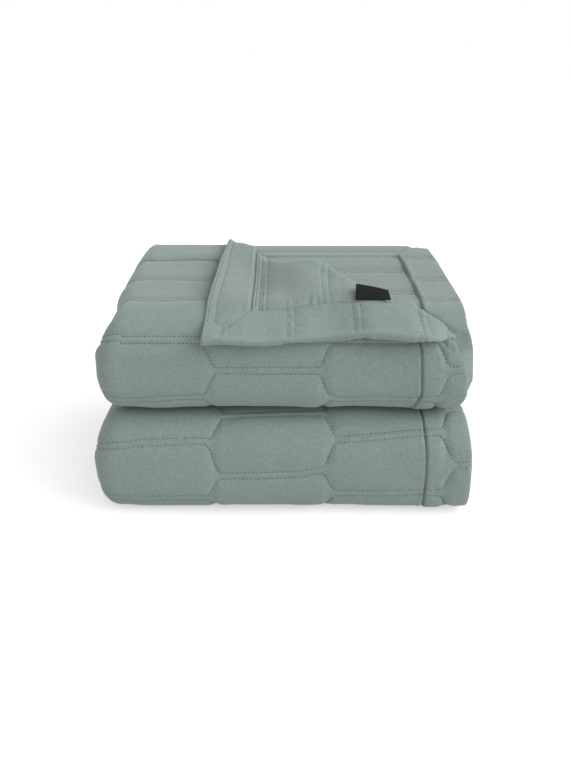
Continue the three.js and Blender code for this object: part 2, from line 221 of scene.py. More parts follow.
@dataclass
class Route:
    """The way of the pack's face through its four runs, from the free end of the top run."""

    run: float = 50.2
    gap: float = 2.6
    upper_front: float = -137.5
    lower_front: float = -143.5
    middle_back: float = 113.0
    top_end: float = 102.0
    bottom_end: float = 105.0
    end_lift: float = 10.0
    end_lift_length: float = 170.0
    corner_drop: float = 0.75
    corner_drop_from: float = -155.0
    corner_drop_length: float = 30.0
    left_rise: float = 1.2
    left_rise_from: float = -50.0
    left_rise_width: float = 60.0
    left_rise_length: float = 220.0
    lower_spread: float = 0.03
    lower_move: float = -1.5
    bared_rise: float = 5.0
    bared_rise_length: float = 150.0
    bared_offset: float = 80.0
    bared_blend: float = 26.0
    starts: list[float] = field(default_factory=list)
    noses: dict[int, Nose] = field(default_factory=dict)
    straights: dict[int, tuple[float, float, float, int]] = field(default_factory=dict)

    TOP = 0
    UPPER = 1
    SECOND = 2
    BACK = 3
    THIRD = 4
    LOWER = 5
    BOTTOM = 6

    def __post_init__(self) -> None:
        """Lay out the four runs and the three noses, and where each starts along the face."""
        radius = self.run + self.gap / 2
        pitch = self.run + self.gap
        upper = Nose(self.upper_front + radius, 3 * pitch - self.gap / 2, -1, 2.4, 3.1, radius)
        back = Nose(self.middle_back - radius, 2 * pitch - self.gap / 2, 1, 2.4, 2.4, radius)
        lower = Nose(self.lower_front + radius, pitch - self.gap / 2, -1, 3.0, 3.5, radius)
        self.noses = {self.UPPER: upper, self.BACK: back, self.LOWER: lower}
        self.straights = {
            self.TOP: (self.top_end, upper.y, 4 * self.run + 3 * self.gap, 1),
            self.SECOND: (upper.y, back.y, 2 * pitch, -1),
            self.THIRD: (back.y, lower.y, 2 * self.run + self.gap, 1),
            self.BOTTOM: (lower.y, self.bottom_end, 0.0, -1),
        }
        self.starts = [0.0]
        for index in range(self.BOTTOM + 1):
            if index in self.straights:
                start, end, _, _ = self.straights[index]
                length = abs(end - start)
            elif index == self.BACK:
                length = HALF_TURN * self.gap / 2
            else:
                length = float(self.noses[index].table()[0][-1])
            self.starts.append(self.starts[-1] + length)

    @property
    def length(self) -> float:
        """Return the whole length of the face."""
        return self.starts[-1]

    def section(self, along: Array, depth: Array) -> tuple[Array, Array]:
        """Return the Y and Z of places on the route.

        Args:
            along: Distances along the face from the free end of the top run.
            depth: Distances in from the face.

        Returns:
            The Y values and the Z values.
        """
        index = np.clip(np.searchsorted(self.starts, along, side="right") - 1, 0, self.BOTTOM)
        y, z = np.zeros_like(along), np.zeros_like(along)
        for stretch in range(self.BOTTOM + 1):
            here = index == stretch
            distance = along[here] - self.starts[stretch]
            if stretch in self.straights:
                start, end, height, up = self.straights[stretch]
                y[here] = start + math.copysign(1, end - start) * distance
                z[here] = height - up * depth[here]
            elif stretch == self.BACK:
                angle = HALF_TURN * (0.5 - distance / (HALF_TURN * self.gap / 2))
                y[here], z[here] = self.noses[stretch].point(angle, self.gap / 2 + depth[here])
            else:
                nose = self.noses[stretch]
                angle = np.interp(distance, *nose.table())
                y[here], z[here] = nose.point(angle, nose.radius - depth[here])
        return y, z

    def settle(self, x: Array, y: Array, z: Array) -> Array:
        """Return points of the pack, with the lift of its back end and the spread of its lower half.

        Args:
            x: Distances across the pack.
            y: Distances from front to back in the even pack.
            z: Heights in the even pack.

        Returns:
            An array with X, Y and Z in its last axis.
        """
        pitch = self.run + self.gap
        corner = self.corner_drop * smooth((self.corner_drop_from - x) / self.corner_drop_length)
        lift = self.end_lift * smooth((y - self.top_end + self.end_lift_length) / self.end_lift_length)
        from_end = self.top_end - y
        bared = smooth((x + self.bared_offset - from_end) / self.bared_blend)
        rise = self.bared_rise * smooth(1 - from_end / self.bared_rise_length) * bared
        at_left = smooth((self.left_rise_from - x) / self.left_rise_width)
        rise = rise + self.left_rise * smooth(1 - from_end / self.left_rise_length) * at_left
        top_share = np.maximum(0.0, (z - 3 * pitch) / self.run)
        lower_share = 1 - smooth((z - pitch) / pitch)
        moved = x + (x * self.lower_spread + self.lower_move) * lower_share
        return np.stack([moved, y, z + (lift * (1 - corner) + rise) * top_share], axis=-1)


@dataclass
class WidthFolds:
    """The back-and-forth of the cloth across its width, as the middle line of its paired layers."""

    run: float
    ply: float
    first_edge: float = 167.0
    left_edge: float = -183.0
    right_edge: float = 180.0
    round_reach: float = 23.0
    inner_left: float = -161.0
    free_edge_inset: float = 3.0
    arc_step: float = 0.5
    distances: Array = field(default_factory=lambda: np.zeros(0))
    points: Array = field(default_factory=lambda: np.zeros(0))
    headings: Array = field(default_factory=lambda: np.zeros(0))
    panel_ends: list[float] = field(default_factory=list)

    def __post_init__(self) -> None:
        """Walk the middle line from the free edge of the face pair to the inner free edge."""
        pair = 2 * self.ply
        left = self.left_edge + self.round_reach
        right = self.right_edge - pair
        middle = self.run / 2
        wrap = (self.round_reach - self.ply, middle - self.ply)
        levels = [self.run - self.ply * (2 * number - 1) for number in range(1, 6)]
        path: list[tuple[float, float]] = [(self.first_edge, self.ply), (left, self.ply)]
        ends = [len(path) - 1]
        steps = int(HALF_TURN * middle / self.arc_step)
        for step in range(1, steps + 1):
            turn = HALF_TURN * step / steps
            path.append((left - wrap[0] * math.sin(turn), middle - wrap[1] * math.cos(turn)))
        ends.append(len(path) - 1)
        for number, level in enumerate(levels[:-1]):
            to_right = number % 2 == 0
            centre = right if to_right else self.inner_left
            path.append((centre, level))
            ends.append(len(path) - 1)
            turns = int(HALF_TURN * self.ply / self.arc_step)
            sign = 1 if to_right else -1
            for step in range(1, turns + 1):
                turn = HALF_TURN * step / turns
                across = centre + sign * self.ply * math.sin(turn)
                path.append((across, level - self.ply * (1 - math.cos(turn))))
            ends.append(len(path) - 1)
        path.append((self.right_edge - self.free_edge_inset, levels[-1]))
        self.points = np.array(path)
        steps_between = np.diff(self.points, axis=0)
        self.distances = np.concatenate([[0.0], np.cumsum(np.hypot(*steps_between.T))])
        middles = (self.distances[1:] + self.distances[:-1]) / 2
        turned = np.unwrap(np.arctan2(steps_between[:, 1], steps_between[:, 0]))
        self.headings = np.stack([middles, turned])
        self.panel_ends = [float(self.distances[index]) for index in ends]

    @property
    def width(self) -> float:
        """Return the width of the cloth."""
        return float(self.distances[-1])

    @property
    def wrap_end(self) -> float:
        """Return the distance at which the rounded left side ends."""
        return self.panel_ends[1]

    def at(self, distance: Array, offset: Array) -> tuple[Array, Array]:
        """Return where the cloth lies in the section across the pack.

        Args:
            distance: Distances along the middle line, below 0 past its first edge.
            offset: Distances out from it, towards the outside of the rounded left side.

        Returns:
            The X values, and the depths in from the face.
        """
        x = np.interp(distance, self.distances, self.points[:, 0]) - np.minimum(distance, 0)
        depth = np.interp(distance, self.distances, self.points[:, 1])
        heading = np.interp(distance, *self.headings)
        return x - np.sin(heading) * offset, depth + np.cos(heading) * offset


@dataclass(frozen=True)
class ColumnEdge:
    """Where one column of quilted cells ends and the next begins, and over what width."""

    place: float
    width: float = 20.0


@dataclass(frozen=True)
class Wander:
    """A soft local bend of the quilting, which moves its lines along the face."""

    first: int
    last: int
    start: float
    end: float
    amount: float
    fade: float = 0.5

    def at(self, number: Array, x: Array) -> Array:
        """Return how far it moves lines, by their numbers, at distances across the pack."""
        along = smooth((number - self.first) / self.fade + 1) * smooth((self.last - number) / self.fade + 1)
        return self.amount * along * smooth((x - self.start) / (self.end - self.start))


@dataclass(frozen=True)
class StitchZone:
    """A stretch of the cloth with quilting that shows, and where its lines lie."""

    start: float
    phase: float
    first_line: int
    last_line: int
    tilt: float = 0.0
    wanders: tuple[Wander, ...] = ()


@dataclass(frozen=True)
class Quilting:
    """Rows of stitching that step up and down in turn from one column of cells to the next."""

    edges: tuple[ColumnEdge, ...]
    repeat: float = 62.5
    step: float = 12.1

    def column_step(self, x: Array) -> Array:
        """Return 1 in the first column, -1 in the second, and so on, with soft steps between.

        Args:
            x: Distances across the pack.

        Returns:
            One number for each distance.
        """
        step = np.ones_like(np.asarray(x, float))
        for index, edge in enumerate(self.edges):
            step += (2 if index % 2 else -2) * smooth(smooth((x - edge.place) / edge.width + 0.5))
        return step

    def line(self, zone: StitchZone, number: Array, x: Array) -> Array:
        """Return how far along the face a numbered line of stitching lies.

        Args:
            zone: The stretch of cloth that it is in.
            number: Whole numbers at lines, fractions between two lines.
            x: Distances across the pack.

        Returns:
            Distances along the face.
        """
        below = np.floor(number)
        share = number - below
        base = zone.start + zone.phase + zone.tilt * x
        for wander in zone.wanders:
            base = base + wander.at(number, x)
        step = self.step * self.column_step(x)
        half = self.repeat / 2
        low = base + below * half + np.where(below % 2, -1, 1) * step
        high = base + (below + 1) * half + np.where(below % 2, 1, -1) * step
        return low * (1 - share) + high * share

    def distance(self, zone: StitchZone, x: Array, along: Array) -> Array:
        """Return how far places are from the nearest line of stitching in a zone.

        Args:
            zone: The stretch of quilted cloth that is meant.
            x: Distances across the pack.
            along: Distances along the face.

        Returns:
            One distance for each place.
        """
        slope = self.step * (self.column_step(x + 0.5) - self.column_step(x - 0.5))
        guess = np.floor((along - zone.start - zone.phase - zone.tilt * x) / (self.repeat / 2))
        nearest = np.full(np.broadcast(x, along).shape, np.inf)
        for extra in (-1, 0, 1, 2):
            number = np.clip(guess + extra, zone.first_line, zone.last_line)
            nearest = np.minimum(nearest, np.abs(along - self.line(zone, number, x)))
        return nearest / np.hypot(1, slope)


@dataclass(frozen=True)
class RollSize:
    """How thick the roll of the turned corner is at a distance from the end edge."""

    from_end: float
    radius: float


@dataclass
class TurnedCorner:
    """The corner of the top ply, folded back over a diagonal roll."""

    ply: float
    side: float = 167.0
    end: float = 2.5
    leg: float = 243.5
    clear: float = 0.6
    sag: float = 62.0
    front_from: float = 196.0
    front_length: float = 53.0
    front_short: float = 5.0
    front_fade: float = 40.0
    edge_draw: float = 7.0
    edge_draw_length: float = 60.0
    hollow: float = 0.8
    hollow_length: float = 70.0
    hollow_width: float = 18.0
    front_press: float = 3.4
    front_press_from: float = 188.0
    front_press_length: float = 30.0
    end_lift: float = 3.2
    end_lift_reach: float = 42.0
    end_lift_until: float = 190.0
    end_lift_fade: float = 50.0
    tip_draw: float = 7.0
    tip_reach: float = 26.0
    back_bend: float = 8.5
    back_bend_from: float = 160.0
    back_bend_length: float = 83.0
    ridge_reach: float = 22.0
    ridge_marks: tuple[float, ...] = (
        -160.0, -100.0, -60.0, -30.0, 0.0, 30.0, 60.0, 100.0, 150.0, 190.0, 220.0, 243.0,
    )
    ridge_shifts: tuple[float, ...] = (0.0, 3.5, 4.0, -4.0, -6.5, -2.0, 0.0, 2.0, 0.0, 2.0, 1.0, 0.0)
    ridge_lifts: tuple[float, ...] = (0.0, -7.0, -7.5, 3.5, 9.5, 4.5, 0.0, -4.0, -2.0, 0.0, -1.5, 0.0)
    side_lift: float = 2.6
    side_lift_reach: float = 13.0
    side_lift_start: float = 20.0
    side_lift_until: float = 210.0
    side_lift_fade: float = 40.0
    rolls: tuple[RollSize, ...] = (
        RollSize(0, 2.4),
        RollSize(18, 3.2),
        RollSize(30, 4.4),
        RollSize(52, 6.0),
        RollSize(84, 8.4),
        RollSize(100, 9.2),
        RollSize(112, 9.6),
        RollSize(122, 8.0),
        RollSize(132, 6.6),
        RollSize(150, 6.8),
        RollSize(180, 4.4),
        RollSize(200, 3.0),
        RollSize(220, 2.2),
        RollSize(243, 1.6),
    )

    def distance(self, u: Array, v: Array) -> Array:
        """Return distances past the fold line, above 0 on the part that is turned back."""
        bend = self.back_bend * smooth((u - v - self.back_bend_from) / self.back_bend_length)
        return (self.leg - bend - u - v) / math.sqrt(2)

    def roll(self, v: Array) -> Array:
        """Return the radius of the roll at distances from the end edge."""
        return np.interp(v, [row.from_end for row in self.rolls], [row.radius for row in self.rolls])

    def place(self, u: Array, v: Array, out: Array) -> tuple[Array, Array, Array]:
        """Return where the top ply lies, flat before the fold, round the roll and lying back.

        Args:
            u: Distances from the side edge.
            v: Distances from the end edge.
            out: Distances out from the middle of the ply, towards its reverse.

        Returns:
            The X values, the distances along the face, and the depths in from the face.
        """
        distance = self.distance(u, v)
        roll = self.roll(v)
        quarter = HALF_TURN / 2
        travelled = distance + roll * quarter
        turn = np.clip(travelled / roll, 0, HALF_TURN)
        past = np.maximum(travelled - roll * HALF_TURN, 0)
        near = smooth(1 - np.abs(np.minimum(distance, 0)) / self.hollow_width)
        root = -self.ply / 2 + self.hollow * smooth(1 - v / self.hollow_length) * near
        inset = roll * (1 - np.sin(turn)) + past - np.minimum(travelled, 0)
        top = root + 2 * roll
        lay = self.clear + self.ply / 2
        height = root + roll * (1 - np.cos(turn)) + (lay - top) * smooth(past / self.sag)
        angle = HALF_TURN - turn
        inset = inset - out * np.sin(angle)
        height = height + out * np.cos(angle)
        total = (distance + inset + roll * (quarter - 1)) / math.sqrt(2)
        x = self.side - u - total
        along = self.end + v + total
        turned = smooth(distance / self.edge_draw_length)
        pressed = self.front_press * smooth((along - self.front_press_from) / self.front_press_length)
        height = height - pressed * smooth(1 + distance / (roll * quarter))
        at_end = smooth(1 - v / self.end_lift_reach)
        at_end = at_end * smooth((self.end_lift_until - along) / self.end_lift_fade)
        height = height + self.end_lift * at_end * turned
        at_side = smooth(v / self.side_lift_start) * smooth((self.side_lift_until - v) / self.side_lift_fade)
        height = height + self.side_lift * smooth(1 - u / self.side_lift_reach) * at_side * turned
        ridge = smooth(1 - np.abs(distance) / self.ridge_reach)
        moved = through(v - u, self.ridge_marks, self.ridge_shifts) * ridge / math.sqrt(2)
        x = x - moved
        along = along + moved
        lifted = through(v - u, self.ridge_marks, self.ridge_lifts)
        height = height + lifted * ridge * smooth(turn / HALF_TURN)
        drawn = self.edge_draw * (1 - along / self.leg) * smooth(1 - v / self.edge_draw_length) * turned
        tip = self.tip_draw * smooth(1 - np.hypot(u, v - self.leg) / self.tip_reach)
        return x + drawn - tip, along, -height

    def pulled_back(self, distance: Array, along: Array) -> Array:
        """Return how far the front end of the fold is pulled back along the face.

        Args:
            distance: Distances past the fold line.
            along: Distances along the face.

        Returns:
            One distance for each place.
        """
        fade = 1 - smooth(-distance / self.front_fade)
        return self.front_short * smooth((along - self.front_from) / self.front_length) * fade


@dataclass(frozen=True)
class FlapFront:
    """The front of the turned corner, which bends down past the pack's shoulder and stands out."""

    level: float
    top_end: float
    bend_start: float = 181.0
    bend_length: float = 26.0
    blend_from: float = 2.0
    blend_length: float = 26.0
    marks: tuple[float, ...] = (0.0, 23.0, 60.0, 90.0, 120.0, 150.0, 180.0, 243.0)
    slopes: tuple[float, ...] = (18.3, 19.9, 24.0, 23.4, 24.8, 18.2, 16.6, 14.0)
    reaches: tuple[float, ...] = (9.6, 9.1, 6.3, 3.3, -0.3, 4.0, 8.0, 11.0)

    def section(self, v: Array, along: Array, height: Array) -> tuple[Array, Array]:
        """Return the Y and Z of places on the front of the turned corner.

        Args:
            v: Distances from the end edge.
            along: Distances along the face from the free end of the top run.
            height: Distances out from the face.

        Returns:
            The Y values and the Z values.
        """
        slope = np.radians(through(v, self.marks, self.slopes))
        travelled = along + through(v, self.marks, self.reaches)
        bent = np.clip((travelled - self.bend_start) / self.bend_length, 0, 1)
        past = np.maximum(travelled - self.bend_start - self.bend_length, 0)
        radius = self.bend_length / slope
        angle = slope * bent
        before = np.minimum(travelled, self.bend_start)
        y = self.top_end - before - radius * np.sin(angle) - past * np.cos(angle)
        z = self.level - radius * (1 - np.cos(angle)) - past * np.sin(angle)
        return y - height * np.sin(angle), z + height * np.cos(angle)


@dataclass(frozen=True)
class Crease:
    """A soft trough or ridge of the cloth."""

    u: float
    v: float
    heading: float
    length: float
    width: float
    height: float

    def at(self, u: Array, v: Array) -> Array:
        """Return its height at places on the cloth.

        Args:
            u: Distances from the side edge.
            v: Distances from the end edge of the upper layer.

        Returns:
            One height for each place.
        """
        angle = math.radians(self.heading)
        along = (u - self.u) * math.cos(angle) + (v - self.v) * math.sin(angle)
        across = -(u - self.u) * math.sin(angle) + (v - self.v) * math.cos(angle)
        return self.height * bell(along, self.length / 2) * bell(across, self.width)


@dataclass
class FoldedCloth:
    """Where each place of the cloth lies in the pack, and how thick it is there."""

    route: Route = field(default_factory=Route)
    plies: int = 12
    gap: float = 0.2
    hem: float = 43.0
    hem_under: float = 40.0
    hem_bulge: float = 2.4
    hem_bulge_blend: float = 1.6
    slit_depth: float = 1.3
    slit_width: float = 0.9
    slit_place: float = 1.1
    open_slit_extra: float = 0.4
    fold_depth: float = 1.1
    fold_width: float = 0.9
    fold_place: float = 4.4
    closed_share: float = 0.75
    face_hem_bulge: float = 1.4
    face_bulge_blend: float = 6.0
    channel_depth: float = 1.2
    channel_width: float = 6.5
    valley_depth: float = 0.75
    valley_width: float = 1.3
    face_end_seam: float = 56.0
    face_seam_depth: float = 2.6
    face_seam_width: float = 0.95
    seam_share: float = 0.4
    seam_ridge: float = 0.6
    seam_ridge_width: float = 2.2
    seam_ridge_place: float = 2.6
    face_ridge_place: float = 3.2
    mitre_depth: float = 1.2
    mitre_width: float = 1.1
    mitre_start: float = 1.5
    hem_corner_blend: float = 6.0
    reverse_share: float = 0.75
    end_turn: float = 3.45
    edge_round: dict[Side, float] = field(default_factory=lambda: {Side.FACE: 6.0, Side.REVERSE: 1.6})
    edge_floor: float = 0.3
    edge_flat: float = 9.0
    corner_reach: float = 250.0
    upper_end: float = 372.0
    lower_margin: float = 14.0
    lower_lead: float = 4.0
    shown_fade: float = 16.0
    wrap_fade: float = 20.0
    turned_lead: float = 14.0
    turned_fade: float = 10.0
    bared_fade: float = 12.0
    fold_calm: float = 30.0
    unevenness: float = 0.55
    edge_calm: float = 30.0
    pucker: float = 0.3
    pucker_width: float = 9.0
    quilting: Quilting = Quilting((ColumnEdge(-72.0), ColumnEdge(38.0), ColumnEdge(145.0)))
    turned_quilting: Quilting = Quilting((ColumnEdge(145.0),))
    edge_marks: tuple[float, ...] = (225.0, 250.0, 300.0, 316.0, 340.0, 492.0, 560.0, 664.0)
    edge_drifts: tuple[float, ...] = (0.0, 4.2, 7.5, 3.5, -3.0, -1.0, 6.0, 6.5)
    edge_drift_from: float = 40.0
    edge_drift_fade: float = 90.0
    lower_drift: float = 5.5
    lower_drift_fade: float = 60.0
    lower_drift_blend: float = 24.0
    under_marks: tuple[float, ...] = (
        0.0, 30.0, 60.0, 100.0, 136.0, 170.0, 200.0, 225.0, 250.0, 286.0, 300.0, 664.0,
    )
    under_shifts: tuple[float, ...] = (5.5, 6.5, 9.0, 10.5, 11.7, 11.0, 8.2, 6.5, 6.8, 6.0, 2.0, 1.5)
    inset_marks: tuple[float, ...] = (0.0, 100.0, 136.0, 156.0, 175.0, 208.0, 235.0, 262.0)
    insets: tuple[float, ...] = (4.2, 4.0, 5.5, 9.0, 11.0, 12.5, 5.5, 0.0)
    left_inset_from: float = -125.0
    left_inset_fade: float = 50.0
    corner_droop: float = 5.5
    corner_tuck: float = 4.0
    corner_droop_reach: float = 24.0
    panel_creep: float = 3.4
    upper_wanders: tuple[Wander, ...] = (
        Wander(8, 9, -85.0, -185.0, 6.0),
        Wander(8, 9, 40.0, 60.0, 3.5),
        Wander(8, 9, 120.0, 132.0, -3.5),
    )
    lower_wanders: tuple[Wander, ...] = (
        Wander(0, 1, -170.0, -130.0, -3.0),
        Wander(0, 1, -84.0, -76.0, 3.0),
        Wander(1, 2, -78.0, -64.0, 5.5),
        Wander(1, 2, 0.0, 48.0, -5.5),
        Wander(0, 1, 50.0, 120.0, -3.5),
        Wander(0, 1, 136.0, 144.0, 3.5),
    )
    soft_waves: Waves = Waves(seed=7, longest=150.0, shortest=48.0)
    pucker_waves: Waves = Waves(seed=11, longest=19.0, shortest=7.0, count=18)
    face_creases: tuple[Crease, ...] = (
        Crease(13.0, 247.0, 149.0, 30.0, 2.4, -4.2),
        Crease(7.0, 237.0, 149.0, 26.0, 4.0, 1.6),
        Crease(190.0, 285.0, 140.0, 16.0, 2.6, -0.9),
        Crease(103.0, 265.0, 142.0, 20.0, 3.4, -1.1),
        Crease(112.0, 257.0, 148.0, 24.0, 4.0, 0.7),
        Crease(152.0, 254.0, 170.0, 30.0, 4.0, -0.7),
        Crease(206.0, 250.0, 18.0, 26.0, 3.6, -0.8),
        Crease(130.0, 262.0, 110.0, 22.0, 3.2, 0.7),
        Crease(66.0, 285.0, 155.0, 30.0, 4.4, -0.8),
        Crease(252.0, 262.0, 60.0, 30.0, 5.0, -0.8),
        Crease(272.0, 238.0, 80.0, 26.0, 4.0, 0.6),
        Crease(57.0, 759.0, 156.0, 24.0, 3.0, -1.2),
        Crease(62.0, 748.0, 150.0, 28.0, 3.4, 0.7),
        Crease(72.0, 735.0, 148.0, 30.0, 4.2, -0.9),
        Crease(95.0, 700.0, 160.0, 34.0, 4.0, -1.0),
        Crease(110.0, 705.0, 150.0, 26.0, 3.2, 0.8),
        Crease(84.0, 712.0, 155.0, 26.0, 3.4, 0.7),
        Crease(176.0, 742.0, 120.0, 26.0, 3.6, -0.8),
        Crease(160.0, 735.0, 105.0, 24.0, 3.2, 0.6),
        Crease(236.0, 700.0, 20.0, 34.0, 5.0, -0.7),
        Crease(30.0, 262.0, 100.0, 24.0, 3.0, -0.7),
        Crease(26.0, 735.0, 80.0, 30.0, 3.4, -0.8),
    )
    corner_creases: tuple[Crease, ...] = (
        Crease(115.0, 53.0, 0.0, 130.0, 11.0, -2.6),
        Crease(100.0, 90.0, 0.0, 110.0, 14.0, 2.0),
        Crease(92.0, 118.0, 0.0, 90.0, 9.0, -1.6),
        Crease(53.0, 101.0, 8.0, 18.0, 2.0, -1.2),
        Crease(50.0, 104.6, 4.0, 16.0, 1.6, 0.9),
        Crease(50.0, 108.0, -6.0, 16.0, 2.0, -1.3),
        Crease(52.0, 78.0, 10.0, 14.0, 2.0, -0.9),
        Crease(52.0, 85.0, -4.0, 14.0, 2.0, -0.8),
        Crease(23.0, 91.0, 65.0, 22.0, 2.6, -1.1),
        Crease(27.0, 98.0, 60.0, 20.0, 2.6, 0.8),
        Crease(15.0, 60.0, 30.0, 22.0, 3.0, -0.6),
        Crease(20.0, 130.0, 40.0, 24.0, 3.4, -0.7),
        Crease(24.0, 150.0, 130.0, 26.0, 3.4, 0.6),
        Crease(16.0, 175.0, 80.0, 26.0, 3.6, -0.7),
        Crease(120.0, 22.0, 96.0, 24.0, 4.0, -0.7),
        Crease(160.0, 30.0, 70.0, 24.0, 4.0, 0.6),
        Crease(12.0, 28.0, 50.0, 18.0, 2.8, -0.8),
    )

    def __post_init__(self) -> None:
        """Work out the plies, the folds and the zones of quilting from the run."""
        self.ply = self.route.run / self.plies
        self.folds = WidthFolds(self.route.run, self.ply)
        self.corner = TurnedCorner(self.ply)
        self.turn_radius = self.ply / 2
        self.turn_start = self.route.length - self.ply
        self.length = 2 * self.turn_start + HALF_TURN * self.turn_radius
        lower_start = self.route.starts[Route.LOWER]
        level = 4 * self.route.run + 3 * self.route.gap
        self.front = FlapFront(level, self.route.top_end)
        self.upper_zone = StitchZone(self.corner.end, 34.0, 1, 10, wanders=self.upper_wanders)
        self.panel_zone = StitchZone(self.corner.end + self.panel_creep, 34.0, -1, 10)
        self.strip_zone = StitchZone(self.corner.end, 34.0, -4, 10)
        self.lower_zone = StitchZone(lower_start, 38.4, -1, 3, tilt=-0.035, wanders=self.lower_wanders)
        self.under_zone = StitchZone(0.0, 68.0, -1, 6)

    def layer(self, u: Array, v: Array, out: Array) -> tuple[Array, Array, Array]:
        """Return how the two layers lie, one over the other, before the cloth is folded further.

        Args:
            u: Distances from the side edge.
            v: Distances from the end edge of the upper layer.
            out: Distances out from the middle of the ply, towards its face.

        Returns:
            Distances along the width, distances along the face, and offsets from the middle of the pair.
        """
        turned = np.clip((v - self.turn_start) / self.turn_radius, 0, HALF_TURN)
        past = np.maximum(v - self.turn_start - HALF_TURN * self.turn_radius, 0)
        reach = self.turn_radius + out
        along = np.minimum(v, self.turn_start) - past + reach * np.sin(turned)
        shift = np.interp(along, self.under_marks, self.under_shifts)
        return u - shift * smooth(turned / HALF_TURN), along, reach * np.cos(turned)

    def drift(self, distance: Array, along: Array) -> Array:
        """Return how far the flat face pair has slid to the right.

        Args:
            distance: Distances along the width from the first edge.
            along: Distances along the face.

        Returns:
            One distance for each place.
        """
        lower = smooth((along - self.lower_zone.start) / self.lower_drift_blend + 0.5)
        flat = smooth((self.folds.panel_ends[0] - distance) / self.lower_drift_fade)
        at_edge = 1 - smooth((distance - self.edge_drift_from) / self.edge_drift_fade)
        return self.lower_drift * lower * flat + np.interp(along, self.edge_marks, self.edge_drifts) * at_edge

    def inset(self, x: Array, along: Array) -> Array:
        """Return how far the rounded left side is pressed in at the shoulder of the pack."""
        at_left = smooth((self.left_inset_from - x) / self.left_inset_fade)
        return through(along, self.inset_marks, self.insets) * at_left

    def droop(self, u: Array, v: Array) -> Array:
        """Return how far the free corner of the lower layer gives way, from 0 to 1."""
        from_corner = np.hypot(u, self.length - v)
        return smooth(1 - from_corner / self.corner_droop_reach) * (~self.is_upper(v))

    def place(self, u: Array, v: Array, out: Array) -> Array:
        """Return points of the folded cloth.

        Args:
            u: Distances from the side edge.
            v: Distances from the end edge of the upper layer.
            out: Distances out from the middle of the ply, towards its face.

        Returns:
            An array with X, Y and Z in its last axis.
        """
        u, v, out = (np.asarray(part, float) for part in np.broadcast_arrays(u, v, out))
        distance, along, offset = self.layer(u, v, out)
        x, depth = self.folds.at(distance, offset)
        in_corner = self.near_corner(u, v)
        corner_x, corner_along, corner_depth = self.corner.place(u, v, -out)
        past_fold = self.corner.distance(u, v)
        share = smooth((past_fold - self.front.blend_from) / self.front.blend_length) * in_corner
        x = np.where(in_corner, corner_x, x)
        along = np.where(in_corner, corner_along, along)
        depth = np.where(in_corner, corner_depth, depth)
        before_fold = 1 - smooth(past_fold / self.fold_calm + 1) * in_corner
        x = x + self.drift(distance, along) * before_fold + self.inset(x, along)
        pulled = self.corner.pulled_back(past_fold, along) * in_corner
        y, z = self.route.section(along - pulled, depth)
        front_y, front_z = self.front.section(v, along, -depth)
        y = y + (front_y - y) * share
        droop = self.droop(u, v)
        z = z + (front_z - z) * share - self.corner_droop * droop
        return self.route.settle(x - self.corner_tuck * droop, y, z)

    def near_corner(self, u: Array, v: Array) -> Array:
        """Return which places lie on the flat stretch of the top ply that holds the turned corner."""
        return (u < self.folds.panel_ends[0]) & (v < self.route.starts[Route.SECOND])

    def is_upper(self, v: Array) -> Array:
        """Return which places lie on the upper of the two layers."""
        return v < self.turn_start

    def bared(self, u: Array, v: Array) -> Array:
        """Return how bare the lower layer lies, from 0 under the top ply to 1 past the fold.

        Args:
            u: Distances from the side edge.
            v: Distances from the end edge of the upper layer.

        Returns:
            One share for each place.
        """
        x = self.folds.first_edge + self.under_shifts[0] - u
        along = self.length - v
        return smooth((x + self.route.bared_offset - along) / self.bared_fade) * (~self.is_upper(v))

    def turned(self, u: Array, v: Array) -> Array:
        """Return where the reverse of the top ply shows, from 0 before the fold to 1 past it."""
        return smooth((self.corner.distance(u, v) + self.turned_lead) / self.turned_fade) * self.is_upper(v)

    def before_seam(self, u: Array, v: Array) -> Array:
        """Return how far places lie from the seam of the nearest hem, above 0 towards the edge.

        Args:
            u: Distances from the side edge.
            v: Distances from the end edge of the upper layer.

        Returns:
            One distance for each place.
        """
        side = np.where(self.is_upper(v), self.hem, self.hem_under) - u
        return np.maximum(side, self.hem - np.minimum(v, self.length - v))

    def stitch_distance(self, u: Array, v: Array, side: Side) -> Array:
        """Return how far places are from the nearest line of quilting that shows.

        Args:
            u: Distances from the side edge.
            v: Distances from the end edge of the upper layer.
            side: The side that is looked at, whose hems are turned over on the reverse.

        Returns:
            One distance for each place.
        """
        x = self.folds.first_edge - np.minimum(u, self.folds.panel_ends[0])
        shift = self.under_shifts[0]
        if side is Side.FACE:
            upper = self.quilting.distance(self.upper_zone, x, v)
            return np.where(v < self.upper_end, upper, self.quilting.distance(self.lower_zone, x, v))
        panel = self.turned_quilting.distance(self.panel_zone, x, v)
        under = self.turned_quilting.distance(self.under_zone, x + shift, self.length - v)
        nearest = np.where(self.is_upper(v), panel, under)
        turned_x = self.folds.first_edge + u
        on_side = self.turned_quilting.distance(self.strip_zone, turned_x, v)
        on_side_under = self.turned_quilting.distance(self.under_zone, turned_x + shift, self.length - v)
        on_end = self.turned_quilting.distance(self.strip_zone, x, -v - self.end_turn)
        hem = np.where(self.is_upper(v), self.hem, self.hem_under)
        from_end = np.minimum(v, self.length - v)
        in_side = (u < hem) & (u <= from_end)
        in_end = (v < self.hem) & (v < u)
        nearest = np.where(in_side, np.where(self.is_upper(v), on_side, on_side_under), nearest)
        return np.where(in_end, on_end, nearest)

